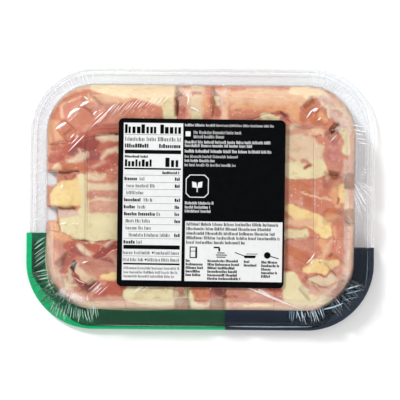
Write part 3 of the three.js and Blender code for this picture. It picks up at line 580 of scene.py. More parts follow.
def tray_height(plan, deeper=0.0):
    """The height of the tray's outside over a plan point, or of what lies further in by some depth."""
    inset = inset_of(plan) - deeper
    height = np.interp(inset, *TRAY_PROFILE)
    height = height - deeper * smoothstep(WALL_FOOT_INSET, BASE_INSET, inset)
    top = TRAY_TOP - deeper
    for (x, y), heading, edge, flute in flute_places():
        local = plan - np.array([x, y])
        out = local[..., 0] * math.cos(heading) + local[..., 1] * math.sin(heading)
        across = local[..., 1] * math.cos(heading) - local[..., 0] * math.sin(heading)
        start = edge + flute["start"] - deeper
        wall = edge + flute["wall"] - deeper
        fall = blend(top - FLUTE_DROP, top - FLUTE_DEPTH, np.clip((out - start) / (wall - start), 0, 1))
        fall = blend(fall, flute["foot"] - deeper, smoothstep(*FLUTE_WALL_SPAN, out - wall))
        opening = smoothstep(*FLUTE_START_SPAN, out - start)
        half = flute["width"] / 2 + deeper
        if flute is CORNER_FLUTE:
            slant = top - (out - SLANT_START + deeper) * SLANT_FALL
            reached = (np.abs(across) < SLANT_HALF) & (out > 0) & (inset > SLANT_END_INSET)
            height = np.where(reached, soft_lower(height, slant, SLANT_ROUND), height)
        for middle in (-FLUTE_SPACING / 2, FLUTE_SPACING / 2):
            share = opening * smoothstep(*FLUTE_SIDE_SPAN, np.abs(across - middle) - half)
            height = height - share * np.maximum(height - fall, 0)
    panel = np.abs(plan) - np.array([HALF_LENGTH, HALF_WIDTH]) + PANEL_INSET + PANEL_CORNER
    past = np.linalg.norm(np.maximum(panel, 0), axis=-1) + np.minimum(np.max(panel, axis=-1), 0)
    return height - PANEL_DEPTH * smoothstep(*PANEL_SPAN, past - PANEL_CORNER - deeper)


def soft_lower(first, second, radius):
    """The lower of two heights, rounded where they meet."""
    share = np.clip(0.5 + (second - first) / (2 * radius), 0, 1)
    return blend(second, first, share) - radius * share * (1 - share)


# How many numbers a mesh attribute holds at a point, its kind, and the name of its values
ATTRIBUTE_KINDS = {1: ("FLOAT", "value"), 3: ("FLOAT_VECTOR", "vector"), 4: ("FLOAT_COLOR", "color")}


def mesh_piece(name, vertices, faces, material, attributes=None):
    """A smooth mesh object from points in millimetres, with named values at its points."""
    mesh = bpy.data.meshes.new(name)
    mesh.from_pydata((np.asarray(vertices) * MM).tolist(), [], [list(face) for face in faces])
    mesh.update()
    mesh.polygons.foreach_set("use_smooth", np.ones(len(mesh.polygons), bool))
    for key, values in (attributes or {}).items():
        kind, slot = ATTRIBUTE_KINDS[1 if values.ndim == 1 else values.shape[1]]
        mesh.attributes.new(key, kind, "POINT").data.foreach_set(slot, values.astype(np.float32).ravel())
    mesh.materials.append(material)
    piece = bpy.data.objects.new(name, mesh)
    bpy.context.scene.collection.objects.link(piece)
    return piece


def add_thickness(piece, thickness, offset):
    sheet = piece.modifiers.new("sheet", "SOLIDIFY")
    sheet.thickness = thickness * MM
    sheet.offset = offset


def grid_quads(rings, columns, closed):
    """Quads between rings that follow each other, which go all the way round if they are closed."""
    ring, column = np.meshgrid(np.arange(rings - 1), np.arange(columns - (not closed)), indexing="ij")
    following = (column + 1) % columns
    low = ring * columns
    high = low + columns
    quads = np.stack([low + column, low + following, high + following, high + column], -1)
    return quads.reshape(-1, 4).tolist()


def ring_faces(rings, columns, closed_start, closed_end):
    """Quads between rings that follow each other, and fans to a middle point at the closed ends."""
    faces = grid_quads(rings, columns, True)
    count = rings * columns
    last = count - columns
    around = [(i, (i + 1) % columns) for i in range(columns)]
    if closed_start:
        faces += [[b, a, count] for a, b in around]
        count += 1
    if closed_end:
        faces += [[last + a, last + b, count] for a, b in around]
    return faces


# How the tissues' edges wander: size in pixels, seed and reach of each layer of noise
TISSUE_WANDER = [(11, 5, 1.5), (4, 8, 0.9), (1.6, 12, 0.4)]
FADE_SHARE = 0.8
ROLL_POWER = 4
GRAIN_STEP = 7.0


def tissue_map(pixels):
    """Colour, fattiness, depth and fibre coordinates of the thighs' surface at photograph pixels."""
    wander = [
        clouds(pixels, [(size, seed + axis, reach) for size, seed, reach in TISSUE_WANDER])
        for axis in (0, 1)
    ]
    spots = pixels + np.stack(wander, -1)
    colour = np.tile(linear(TISSUES["salmon"][0]), pixels.shape[:-1] + (1,))
    fat = np.zeros(pixels.shape[:-1])
    depth = np.zeros(pixels.shape[:-1])
    grain = at_height(spots, 0)
    for number, (tissue, stroke) in enumerate(STROKES.values()):
        tone, fattiness, back, roll, fade = TISSUES[tissue]
        points = np.array(stroke, float)
        pairs = list(zip(points[:-1], points[1:])) or [(points[0], points[0] + 1e-6)]
        nearest = np.full(pixels.shape[:-1], 1e9)
        radius = np.ones(pixels.shape[:-1])
        along = np.zeros(pixels.shape[:-1])
        across = np.zeros(pixels.shape[:-1])
        run = 0
        for start, end in pairs:
            lead = end[:2] - start[:2]
            length = np.linalg.norm(lead)
            share = np.clip(((spots - start[:2]) @ lead) / length**2, 0, 1)
            away = spots - start[:2] - share[..., None] * lead
            distance = np.linalg.norm(away, axis=-1)
            half = blend(start[2], end[2], share)
            closer = distance - half < nearest - radius
            side = (away[..., 1] * lead[0] - away[..., 0] * lead[1]) / length
            nearest = np.where(closer, distance, nearest)
            radius = np.where(closer, half, radius)
            along = np.where(closer, run + share * length, along)
            across = np.where(closer, side, across)
            run += length
        inside = radius - nearest
        share = smoothstep(-fade * FADE_SHARE, fade * FADE_SHARE, inside)
        rolled = back + roll * np.clip(nearest / radius, 0, 1) ** ROLL_POWER
        colour = blend(colour, linear(tone), share[..., None])
        fat = blend(fat, fattiness, share)
        depth = blend(depth, rolled, share)
        stroke_grain = np.stack([along, across, np.full(along.shape, number * GRAIN_STEP)], -1)
        grain = np.where((share > 0.5)[..., None], stroke_grain, grain)
    return colour, fat, depth, grain


def linear(colour):
    """A screen colour of 0 to 255 as linear light."""
    share = np.array(colour, float) / 255
    return np.where(share <= 0.04045, share / 12.92, ((share + 0.055) / 1.055) ** 2.4)


# Materials


class Nodes:
    """A material's node tree, with short ways to add nodes and join them."""

    def __init__(self, name):
        self.material = bpy.data.materials.new(name)
        self.material.use_nodes = True
        self.tree = self.material.node_tree
        self.tree.nodes.clear()

    def add(self, kind, settings=None, **inputs):
        node = self.tree.nodes.new(kind)
        for key, value in (settings or {}).items():
            setattr(node, key, value)
        for key, value in inputs.items():
            self.set(node, key.replace("_", " "), value)
        return node

    def set(self, node, key, value):
        """Sets an input by its name or number to a value, or links it to another node's socket."""
        if isinstance(value, bpy.types.NodeSocket):
            self.tree.links.new(value, node.inputs[key])
        else:
            node.inputs[key].default_value = value

    def join(self, node, places, values):
        for place, value in zip(places, values):
            self.set(node, place, value)
        return node

    def mix(self, share, first, second, how="MIX"):
        node = self.add("ShaderNodeMix", {"data_type": "RGBA", "blend_type": how})
        return self.join(node, (0, 6, 7), (share, first, second)).outputs[2]

    def math(self, how, first, second):
        node = self.add("ShaderNodeMath", {"operation": how})
        return self.join(node, (0, 1), (first, second)).outputs[0]

    def times(self, first, second):
        return self.math("MULTIPLY", first, second)

    def shade(self, share, first, second):
        node = self.add("ShaderNodeMixShader")
        return self.join(node, (0, 1, 2), (share, first.outputs[0], second.outputs[0]))

    def ramp(self, value, low, high, start=0.0, end=1.0):
        kind = {"interpolation_type": "SMOOTHSTEP"}
        node = self.add(
            "ShaderNodeMapRange", kind, Value=value, From_Min=low, From_Max=high, To_Min=start, To_Max=end
        )
        return node.outputs[0]

    def noise(self, place, scale, detail, rough=0.6):
        node = self.add("ShaderNodeTexNoise", Vector=place, Scale=scale, Detail=detail, Roughness=rough)
        return node.outputs[0]

    def attribute(self, name, output="Fac"):
        return self.add("ShaderNodeAttribute", {"attribute_name": name}).outputs[output]

    def place(self):
        return self.add("ShaderNodeTexCoord").outputs["Object"]

    def edge(self):
        """How nearly edge-on the surface is seen, for its gloss."""
        return self.add("ShaderNodeLayerWeight", Blend=0.5).outputs["Facing"]

    def bump(self, height, strength, distance):
        node = self.add("ShaderNodeBump", Height=height, Strength=strength, Distance=distance)
        return node.outputs[0]

    def finish(self, shader):
        output = self.add("ShaderNodeOutputMaterial")
        self.tree.links.new(shader.outputs[0], output.inputs["Surface"])
        return self.material


# Layers of colour on the meat: the noise that shapes it, where it fades in, its strength there,
# what it keeps to, its colour, and how it is laid on
MEAT_LAYERS = [
    ("fibres", (0.35, 0.62), (0, 0.24), ("lean",), (0.5, 0.14, 0.09, 1), "MULTIPLY"),
    ("fibres", (0.56, 0.72), (0, 0.3), ("lean", "bright"), (0.72, 0.46, 0.32, 1), "MIX"),
    ("mottle", (0.3, 0.48), (0.26, 0), (), (0.56, 0.2, 0.13, 1), "MULTIPLY"),
    ("mottle", (0.52, 0.72), (0, 0.3), ("bright",), (0.78, 0.56, 0.4, 1), "MIX"),
    ("specks", (0.6, 0.72), (0, 0.3), ("fat",), (0.62, 0.28, 0.2, 1), "MIX"),
]
FIBRE_STRETCH = (0.1, 0.9, 1.0)
BRIGHT_SPAN = (0.06, 0.3)
GLOSS_SPAN = (0.3, 0.75)
MEAT_SCATTER = (1.0, 0.4, 0.25)
MILK_TONE = (0.9, 0.92, 0.95, 1)
MOTTLE_SCALE = 190.0
SPECK_SCALE = 900.0
RIPPLE_SCALE = 260.0
PATCH_SCALE = 400.0
FOLD_SCALE = 700.0
INK_SCALE = 320.0
DUST_SCALE = 2600.0


def meat_material():
    """Wet raw chicken: fibred muscle and smooth fat, by the colours laid on the mesh."""
    n = Nodes("raw_chicken")
    place = n.place()
    tone = n.attribute("tone", "Color")
    fat = n.attribute("fat")
    stretched = n.add("ShaderNodeVectorMath", {"operation": "MULTIPLY"})
    n.join(stretched, (0, 1), (n.attribute("grain", "Vector"), FIBRE_STRETCH))
    fields = {
        "fibres": n.noise(stretched.outputs[0], 1.0, detail=3),
        "mottle": n.noise(place, MOTTLE_SCALE, detail=4),
        "specks": n.noise(place, SPECK_SCALE, detail=3),
        "fat": fat,
        "lean": n.math("SUBTRACT", 1.0, fat),
        "bright": n.ramp(n.add("ShaderNodeRGBToBW", Color=tone).outputs[0], *BRIGHT_SPAN),
    }
    colour = tone
    for noise, span, strengths, kept_to, layer_tone, how in MEAT_LAYERS:
        share = n.ramp(fields[noise], *span, *strengths)
        for field in kept_to:
            share = n.times(share, fields[field])
        colour = n.mix(share, colour, layer_tone, how)
    height = n.math("ADD", n.times(fields["fibres"], 0.5), n.times(fields["specks"], 0.5))
    # The tray clings to the meat, so that it isn't glossy edge-on
    edge = n.edge()
    shader = n.add(
        "ShaderNodeBsdfPrincipled",
        Base_Color=colour,
        Roughness=n.ramp(fields["mottle"], 0.3, 0.7, 0.46, 0.26),
        Normal=n.bump(height, strength=0.5, distance=0.0004),
        Specular_IOR_Level=n.ramp(edge, *GLOSS_SPAN, 0.25, 0.0),
        Coat_Weight=n.ramp(edge, *GLOSS_SPAN, 0.15, 0.0),
        Coat_Roughness=0.12,
        Subsurface_Weight=0.12,
        Subsurface_Scale=0.0015,
        Subsurface_Radius=MEAT_SCATTER,
    )
    return n.finish(shader)


def clear_material(name, tint, edge_tint, haze, roughness, shine, wave):
    """Clear plastic: light goes straight through, a little greyer edge-on, under a glossy reflection."""
    n = Nodes(name)
    place = n.place()
    edge = n.edge()
    ripple = n.noise(place, RIPPLE_SCALE, detail=2, rough=0.5)
    bent = n.bump(ripple, strength=wave, distance=0.0005)
    through = n.add("ShaderNodeBsdfTransparent", Color=n.mix(n.ramp(edge, 0.86, 1.0), tint, edge_tint))
    milk = n.add("ShaderNodeBsdfDiffuse", Color=MILK_TONE, Normal=bent)
    gloss = n.add("ShaderNodeBsdfGlossy", Color=(1, 1, 1, 1), Roughness=roughness, Normal=bent)
    patches = n.ramp(n.noise(place, PATCH_SCALE, detail=2, rough=0.5), 0.3, 0.7, 0.8, 1.2)
    patchy = n.times(n.attribute("mist"), patches)
    misty = n.math("ADD", patchy, n.ramp(ripple, 0.2, 0.8, haze * 0.6, haze * 1.4))
    hazed = n.shade(misty, through, milk)
    return n.finish(n.shade(n.ramp(edge, 0.45, 1.0, *shine), hazed, gloss))


def fold_material():
    """A sharp fold of clear film, its crest painted with the fold's tone as a painted highlight or painted
    shade line.
    """
    n = Nodes("film_fold")
    broken = n.ramp(n.noise(n.place(), FOLD_SCALE, detail=2, rough=0.5), 0.25, 0.6, 0.7, 1.1)
    crest = n.times(n.ramp(n.attribute("mist"), 0.05, 0.6), broken)
    tone = n.attribute("tone", "Color")
    film = n.add("ShaderNodeBsdfPrincipled", Base_Color=tone, Roughness=0.22, Specular_IOR_Level=0.3)
    clear = n.add("ShaderNodeBsdfTransparent")
    return n.finish(n.shade(n.times(crest, n.attribute("strength")), clear, film))


def printed_material(name, colour, dark, roughness, shine):
    """Ink on film: nearly even, with faint mottling and dust."""
    n = Nodes(name)
    place = n.place()
    mottle = n.noise(place, INK_SCALE, detail=4)
    base = n.mix(n.ramp(mottle, 0.3, 0.7), tuple(linear(dark)) + (1,), tuple(linear(colour)) + (1,))
    fine = n.noise(place, DUST_SCALE, detail=2, rough=0.5)
    shader = n.add(
        "ShaderNodeBsdfPrincipled",
        Base_Color=base,
        Roughness=n.ramp(fine, 0.3, 0.7, roughness - 0.06, roughness + 0.08),
        Normal=n.bump(fine, strength=0.15, distance=0.0001),
        Specular_IOR_Level=shine,
    )
    return n.finish(shader)


def floor_material():
    n = Nodes("pale_floor")
    pale = (0.9, 0.9, 0.9, 1)
    shader = n.add("ShaderNodeBsdfPrincipled", Base_Color=pale, Roughness=0.9, Specular_IOR_Level=0.0)
    return n.finish(shader)


# The tray

TRAY_COLUMNS = 800
TRAY_RUNS = [(0.7, 11, 19), (11.3, 20.4, 15), (20.8, PANEL_INSET + 0.5, 22)]
TRAY_SHRINKING = [(0.985, 0.1, 6)]
TRAY_MIST = 0.3
FOOT_MIST_SPAN = (1.2, 0.3)
FOOT_LEVEL = 4
BEAD_INSET = 5.3
BEAD_MIST_SPAN = (0.5, 0.2)
PRINTED_MIST = 0.05


def make_tray(material):
    """The clear tray as one sheet, misty along the foot of its wall and along its bead."""
    insets, shares = ring_stops(TRAY_RUNS, TRAY_SHRINKING)
    plan = rings_at(outline(TRAY_COLUMNS), insets, shares)
    rings = at_height(plan, tray_height(plan))
    middle = [[0, 0, float(tray_height(np.zeros(2)))]]
    vertices = np.concatenate([rings.reshape(-1, 3), middle])
    inset = inset_of(vertices[:, :2])
    foot = smoothstep(*FOOT_MIST_SPAN, np.abs(inset - WALL_FOOT_INSET)) * (vertices[:, 2] < FOOT_LEVEL)
    bead = smoothstep(*BEAD_MIST_SPAN, np.abs(inset - BEAD_INSET))
    mist = TRAY_MIST * np.maximum(foot, bead) * np.where(printed(vertices), PRINTED_MIST, 1)
    faces = ring_faces(len(insets), TRAY_COLUMNS, False, True)
    piece = mesh_piece("clear_tray", vertices, faces, material, {"mist": mist})
    add_thickness(piece, TRAY_SHEET, -1)
    return piece


# The thighs

MEAT_COLUMNS = 960
MEAT_BACK = TRAY_SHEET + 0.25
MEAT_FLOOR = 1.1
MEAT_RUNS = [(WALL_FOOT_INSET + MEAT_BACK + 0.3, 20.8, 34), (21.3, PANEL_INSET, 28)]
MEAT_SHRINKING = [(0.99, 0.74, 20), (0.68, 0.06, 6)]
SEAM_BACK = 0.12
SEAM_REACH = 0.8
SEAM_GAP = 0.03
SEAM_ROUNDS = 6
SEAM_PULL = 0.6
LUMPS = [(9, 21, 1), (3.5, 22, 0.6)]
LUMP_HEIGHT = 0.16
LUMP_BACK = 0.2
LEAST_THICKNESS = 0.3
FRONT_DEPTH = 0.6
# Slots in the left wall that show the empty tray
SLOT_LEVEL = 2.4
SLOTS_END = -60
# How the tissues' colours drift, and how each colour channel follows
DRIFT = [(14, 23, 0.07), (5, 24, 0.06)]
DRIFT_POWERS = np.array([0.7, 1.2, 1.4])
# Painted light: the walls are painted lighter and brighter low down, more towards the right and the bottom
# and beside the print, and the whole meat a little brighter towards the right
WALL_PAINTED_LIGHT_TONE = (238, 214, 202)
WALL_LEVELS = (35, 27)
WALL_PAINTED_LIGHT_SHARE = 0.35
WALL_PAINTED_LIGHT_GAIN = 0.4
FACING_RIGHT = 0.8
FACING_BASE = 0.9
FACING_MOST = 1.5
BESIDE_PRINT = (-12, -30)
RIGHT_PAINTED_LIGHT = 0.04
# Painted reflection: the meat is blended towards a pale tone at the foot of the walls, for the film's
# whitish reflection there
FOOT_REFLECTION_TONE = (240, 218, 196)
FOOT_REFLECTION_LEVELS = (8, 2)
FOOT_REFLECTION_SHARE = 0.25
# Painted light and reflection: where the flutes at the middle of each side are deep, the meat is painted
# pale, lifting the shade there and standing in for the film's whitish reflection
FLUTE_PAINTED_LIGHT_TONE = (255, 230, 214)
FLUTE_PAINTED_LIGHT_DEPTHS = (8, 20)
FLUTE_PAINTED_LIGHT_SHARE = 0.85
FLUTE_PAINTED_LIGHT_PATCHES = (2.2, 25)
# Takes the tissues' tones from how they show to the meat's own
TONE_BALANCE = np.array([0.88, 0.84, 0.75])


def cad_thighs():
    """A search tree over every thigh's solid, and the name that each of its faces belongs to."""
    vertices = []
    polygons = []
    owners = []
    for name in sorted(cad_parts):
        if not name.startswith("thigh"):
            continue
        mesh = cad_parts[name].data
        polygons += [[len(vertices) + i for i in polygon.vertices] for polygon in mesh.polygons]
        vertices += [vertex.co for vertex in mesh.vertices]
        owners += [name] * len(mesh.polygons)
    return BVHTree.FromPolygons(vertices, polygons), owners


def owners_of(middles):
    """The thigh that each plan point belongs to, as numbers in a list of names."""
    tree, face_owners = cad_thighs()
    names = sorted(set(face_owners))
    numbers = {name: number for number, name in enumerate(names)}
    level = TRAY_TOP / 2 * MM
    found = [tree.find_nearest(Vector((x * MM, y * MM, level)))[2] for x, y in middles.tolist()]
    return names, np.array([numbers[face_owners[i]] for i in found])


def relax_seams(plan, quads, owner):
    """Draws the stepped borders between thighs smooth, and returns the plan and the border's points."""
    edges = np.concatenate([quads[:, [i, (i + 1) % 4]] for i in range(4)])
    sides = np.concatenate([owner] * 4)
    keys = np.sort(edges, 1)
    order = np.lexsort((keys[:, 1], keys[:, 0]))
    keys = keys[order]
    sides = sides[order]
    same = (keys[1:] == keys[:-1]).all(1) & (sides[1:] != sides[:-1])
    seam = keys[1:][same]
    for _ in range(SEAM_ROUNDS):
        total = np.zeros_like(plan)
        count = np.zeros(len(plan))
        for a, b in ((0, 1), (1, 0)):
            np.add.at(total, seam[:, a], plan[seam[:, b]])
            np.add.at(count, seam[:, a], 1)
        inner = count >= 2
        plan[inner] = blend(plan[inner], total[inner] / count[inner, None], SEAM_PULL)
    return plan, np.unique(seam)


def distance_to(plan, chosen):
    """How far each plan point lies from the nearest of the chosen ones."""
    tree = KDTree(len(chosen))
    for i in chosen:
        tree.insert((plan[i, 0], plan[i, 1], 0), int(i))
    tree.balance()
    return np.array([tree.find((x, y, 0))[2] for x, y in plan.tolist()])


def lay_out_thighs():
    """The thighs' plan points, their quads, each quad's thigh, the thighs' names and the seam's points."""
    insets, shares = ring_stops(MEAT_RUNS, MEAT_SHRINKING)
    plan = rings_at(outline(MEAT_COLUMNS), insets, shares).reshape(-1, 2)
    plan = np.concatenate([plan, np.zeros((1, 2))])
    faces = ring_faces(len(insets), MEAT_COLUMNS, False, True)
    quads = np.array([face if len(face) == 4 else face + [face[2]] for face in faces])
    names, owner = owners_of(plan[quads].mean(1))
    plan, seam = relax_seams(plan, quads, owner)
    return plan, quads, owner, names, seam


def colour_through_pack(colour, plan, height):
    """The tissues' colours drifting at random, with painted light: lighter walls, a painted film
    reflection at their foot, and pale deep side flutes.
    """
    across = plan[:, 0] / HALF_LENGTH
    colour = colour * (1 + clouds(plan, DRIFT))[:, None] ** DRIFT_POWERS
    # Painted light: the walls lighter low down, the meat brighter towards the right
    facing = FACING_RIGHT * across - plan[:, 1] / HALF_WIDTH + FACING_BASE
    facing = np.clip(facing + smoothstep(*BESIDE_PRINT, plan[:, 1]), 0, FACING_MOST)
    painted_light = (WALL_PAINTED_LIGHT_SHARE * smoothstep(*WALL_LEVELS, height) * facing)[:, None]
    colour = blend(colour, linear(WALL_PAINTED_LIGHT_TONE), painted_light) * (1 + WALL_PAINTED_LIGHT_GAIN * painted_light)
    colour = colour * (1 + RIGHT_PAINTED_LIGHT * across)[:, None]
    # Painted reflection of the film at the foot of the walls
    foot_reflection = smoothstep(*FOOT_REFLECTION_LEVELS, height) * FOOT_REFLECTION_SHARE
    colour = blend(colour, linear(FOOT_REFLECTION_TONE), foot_reflection[:, None]) * TONE_BALANCE
    # Painted light and reflection deep in the side flutes
    sunk = np.interp(inset_of(plan), *TRAY_PROFILE) - height
    in_side_flute = np.abs(plan).min(axis=1) < FLUTE_SPACING
    patchy = FLUTE_PAINTED_LIGHT_SHARE + (1 - FLUTE_PAINTED_LIGHT_SHARE) * cloud(plan, *FLUTE_PAINTED_LIGHT_PATCHES)
    veil = smoothstep(*FLUTE_PAINTED_LIGHT_DEPTHS, sunk) * in_side_flute * patchy
    return blend(colour, linear(FLUTE_PAINTED_LIGHT_TONE), veil[:, None])


def make_thighs(material):
    """Each thigh as its own closed mesh, its top pressed to the tray and its foot to the front film."""
    plan, quads, owner, names, seam = lay_out_thighs()
    seam_back = SEAM_BACK * np.exp(-((distance_to(plan, seam) / SEAM_REACH) ** 2))
    top = at_height(plan, tray_height(plan, MEAT_BACK))
    colour, fat, depth, grain = tissue_map(photo_pixels(top))
    mirrored = top * np.array([-1, 1, 1])
    lumps = clouds(plan, LUMPS) * LUMP_HEIGHT + LUMP_BACK
    back = MEAT_BACK + depth + seam_back + lumps
    top[:, 2] = np.maximum(tray_height(plan, back), MEAT_FLOOR + LEAST_THICKNESS)
    filled = (top[quads, 2].mean(1) > SLOT_LEVEL) | (plan[quads, 0].mean(1) > SLOTS_END)
    quads = quads[filled]
    owner = owner[filled]
    colour = colour_through_pack(colour, plan, top[:, 2])

    mirrored[:, 2] = top[:, 2]
    low_colour, low_fat, low_depth, low_grain = tissue_map(photo_pixels(mirrored))
    low = MEAT_FLOOR + low_depth * FRONT_DEPTH + seam_back + lumps - LUMP_BACK
    bottom = at_height(plan, np.minimum(low, top[:, 2] - LUMP_BACK))

    for number, name in enumerate(names):
        mine = quads[owner == number]
        used, local = np.unique(mine, return_inverse=True)
        local = local.reshape(-1, 4)
        count = len(used)
        pulled = pull_in(plan, used, local, np.isin(used, seam))
        upper = at_height(pulled, top[used, 2])
        lower = at_height(pulled, bottom[used, 2])
        faces = [distinct(face) for face in local.tolist()]
        sides = [[b, a, a + count, b + count] for a, b in border_edges(faces)]
        faces += [distinct([i + count for i in reversed(face)]) for face in local.tolist()] + sides
        tones = np.concatenate([colour[used], low_colour[used] * TONE_BALANCE])
        attributes = {
            "tone": with_alpha(tones),
            "fat": np.concatenate([fat[used], low_fat[used]]),
            "grain": np.concatenate([grain[used], low_grain[used]]),
        }
        piece = mesh_piece("raw_" + name, np.concatenate([upper, lower]), faces, material, attributes)
        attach(piece, "root")
        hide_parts(name)


def distinct(face):
    """A quad, or a triangle where two corners of the quad are one point."""
    return face[:3] if len(face) == 4 and face[3] == face[2] or face[0] == face[1] else face


def with_alpha(colour):
    return at_height(colour, 1)


def pull_in(plan, used, local, on_seam):
    """The plan points of one thigh, with those on its border drawn in by a hair's width."""
    points = plan[used].copy()
    total = np.zeros_like(points)
    count = np.zeros(len(points))
    middles = points[local].mean(1)
    for corner in range(4):
        np.add.at(total, local[:, corner], middles)
        np.add.at(count, local[:, corner], 1)
    inwards = total / count[:, None] - points
    length = np.maximum(np.linalg.norm(inwards, axis=1, keepdims=True), 1e-6)
    return points + np.where(on_seam[:, None], inwards / length * SEAM_GAP, 0)


def border_edges(faces):
    """The edges that only one face uses, in that face's direction."""
    edges = set()
    for face in faces:
        for a, b in zip(face, face[1:] + face[:1]):
            if (b, a) in edges:
                edges.remove((b, a))
            else:
                edges.add((a, b))
    return sorted(edges)


# The wrap and the print on its front

WRAP_COLUMNS = 800
WRAP_RINGS = (4, 8, 48, 32, 10)
PRINT_COLUMNS = 1300
FRONT_LEVEL = 0.15
WRAP_SECTION = np.array([
    (30, FRONT_LEVEL), (3, FRONT_LEVEL), (1.1, 0.3), (0.2, 1.6), (0.15, 5), (0.9, 6.6),
    (18.6, 39), (20.6, WRAP_TOP - 0.5), (23, WRAP_TOP - 0.1), (40, WRAP_TOP - 0.1),
])
SECTION_STEP = 0.5
FINE_REACH = 13
TOP_SHARES = np.linspace(0.97, 0.1, 8)
FRONT_SHARES = np.linspace(0.1, 0.9, 4)
# The slack skirts: size, seed and reach of gathers and waves, and how far the skirts hang in
GATHERS = (1.7, 31, 0.45)
WAVES = (17, 33, 0.25)
SKIRT_IN = 0.4
SKIRT_STARTS = (0, 5)
SKIRT_ENDS = (2, -8)
CORNER_SPAN = (0.9, 1)
CORNER_EDGE = 30
GATHERS_ROUND = 30
GATHERS_ASIDE = 17


def along_section(points):
    """The distance along a polyline from its first point to each of its points."""
    steps = np.linalg.norm(np.diff(points, axis=0), axis=1)
    return np.concatenate([[0], np.cumsum(steps)])


def wrap_points(columns, distance, lift=0.0):
    """Points of the wrap at distances along its section, raised by a lift."""
    marks = along_section(WRAP_SECTION)
    inset = np.interp(distance, marks, WRAP_SECTION[:, 0])
    height = np.interp(distance, marks, WRAP_SECTION[:, 1])
    points, inwards = columns
    plan = points + inwards * inset[..., None]
    ahead = np.interp(distance + SECTION_STEP, marks, WRAP_SECTION[:, 0]) - inset
    rise = np.interp(distance + SECTION_STEP, marks, WRAP_SECTION[:, 1]) - height
    length = np.maximum(np.hypot(ahead, rise), 1e-6)
    outwards = np.concatenate([-inwards * (rise / length)[..., None], (ahead / length)[..., None]], -1)
    low, high, end = marks[5:8]
    skirt = smoothstep(low + SKIRT_STARTS[0], low + SKIRT_STARTS[1], distance)
    skirt = skirt * smoothstep(end + SKIRT_ENDS[0], high + SKIRT_ENDS[1], distance)
    raised = lift + wrinkles(plan, skirt)
    return at_height(plan, height) + outwards * raised[..., None]


def wrinkles(plan, skirt):
    """The wrap's slack: broad waves on the skirts, with fine radial gathers at the corners."""
    x = np.abs(plan[..., 0])
    y = np.abs(plan[..., 1])
    corner = np.minimum(x / (HALF_LENGTH - CORNER_EDGE), 1) * np.minimum(y / (HALF_WIDTH - CORNER_EDGE), 1)
    heading = np.arctan2(y - (HALF_WIDTH - PACK_CORNER), x - (HALF_LENGTH - PACK_CORNER))
    side = np.sign(plan[..., 0]) + 3 * np.sign(plan[..., 1])
    size, seed, reach = GATHERS
    spots = np.stack([heading * GATHERS_ROUND, side * GATHERS_ASIDE], -1)
    gathers = 1 - np.abs(cloud(at_height(spots, 0), size, seed))
    gathered = reach * gathers**3 * smoothstep(*CORNER_SPAN, corner)
    return skirt * (gathered + clouds(at_height(plan, 0), [WAVES]) - SKIRT_IN)


# The wrap looks misty where it lies on the rim and the bead: inset, half-width and strength
RIM_MIST = [(0.35, 0.35, 0.6), (2.1, 0.3, 0.35), (5.2, 0.5, 0.35), (2.4, 3.4, 0.22)]
RIM_MIST_LEVEL = 3
SKIRT_MIST = 0.05
SKIRT_MIST_LEVELS = (30, 12)
SKIRT_END = 20


def rim_mist(inset, height):
    mist = SKIRT_MIST * smoothstep(*SKIRT_MIST_LEVELS, height) * (inset < SKIRT_END)
    for middle, half, strength in RIM_MIST:
        line = strength * smoothstep(half, half / 2, np.abs(inset - middle))
        mist = np.maximum(mist, line * (height > RIM_MIST_LEVEL))
    return mist


def make_wrap(material):
    """The clear wrap as one closed skin, from the middle of its front round to its top."""
    columns = outline(WRAP_COLUMNS)
    marks = along_section(WRAP_SECTION)
    ends = [0, marks[1], marks[4], marks[5] + FINE_REACH, marks[8], marks[9]]
    stops = np.concatenate([
        np.linspace(start, end, count, endpoint=end == ends[-1])
        for start, end, count in zip(ends, ends[1:], WRAP_RINGS)
    ])
    sides = wrap_points(columns, np.repeat(stops[:, None], WRAP_COLUMNS, 1))
    top = ring_level(columns, TOP_SHARES, WRAP_SECTION[-1])
    front = ring_level(columns, FRONT_SHARES, WRAP_SECTION[0])
    rings = np.concatenate([front, sides, top])
    middles = [[0, 0, FRONT_LEVEL], [0, 0, WRAP_SECTION[-1, 1]]]
    vertices = np.concatenate([rings.reshape(-1, 3), middles])
    mist = rim_mist(inset_of(vertices[:, :2]), vertices[:, 2])
    mist = mist * np.where(printed(vertices), PRINTED_MIST, 1)
    faces = ring_faces(len(rings), WRAP_COLUMNS, True, True)
    return mesh_piece("clear_wrap", vertices, faces, material, {"mist": mist})


def ring_level(columns, shares, corner):
    """Level rings shrunk from one at an inset and height to shares of its size."""
    inset, height = corner
    return at_height(rings_at(columns, np.full(len(shares), inset), shares), height)


# Painted highlight and shade lines along the clear part of the rim: tone, strength, half-width, inset and
# height
RIM_LINES = [
    ("grey", 0.4, 0.5, 0.8, 5), ("bright", 0.6, 0.5, 1.8, 7), ("grey", 0.35, 1.2, 4.6, 12),
    ("bright", 0.4, 0.5, 6, 15),
]
RIM_STEPS = 500

# How folds and specks vary: jitter in pixels, shares of length and strength, and bend in degrees
ROW_JITTER = 0.7
ROW_REACHES = (0.6, 1.1)
ROW_FADES = (0.55, 1)
LONG_ROW = 3
FAN_PLACES = (0.1, 0.9)
FAN_BEND = 0.8
FAN_INNER = (0, 0.4)
FAN_OUTER = (0, 0.35)
FAN_FADES = (0.5, 1)
FAN_WIDTHS = (0.7, 1.3)
SPECK_LEADS = ((0.3, -1.1), (1.1, 0.2))
SPECK_FADES = (0.6, 1)
SPECK_WIDTHS = (0.3, 0.55)


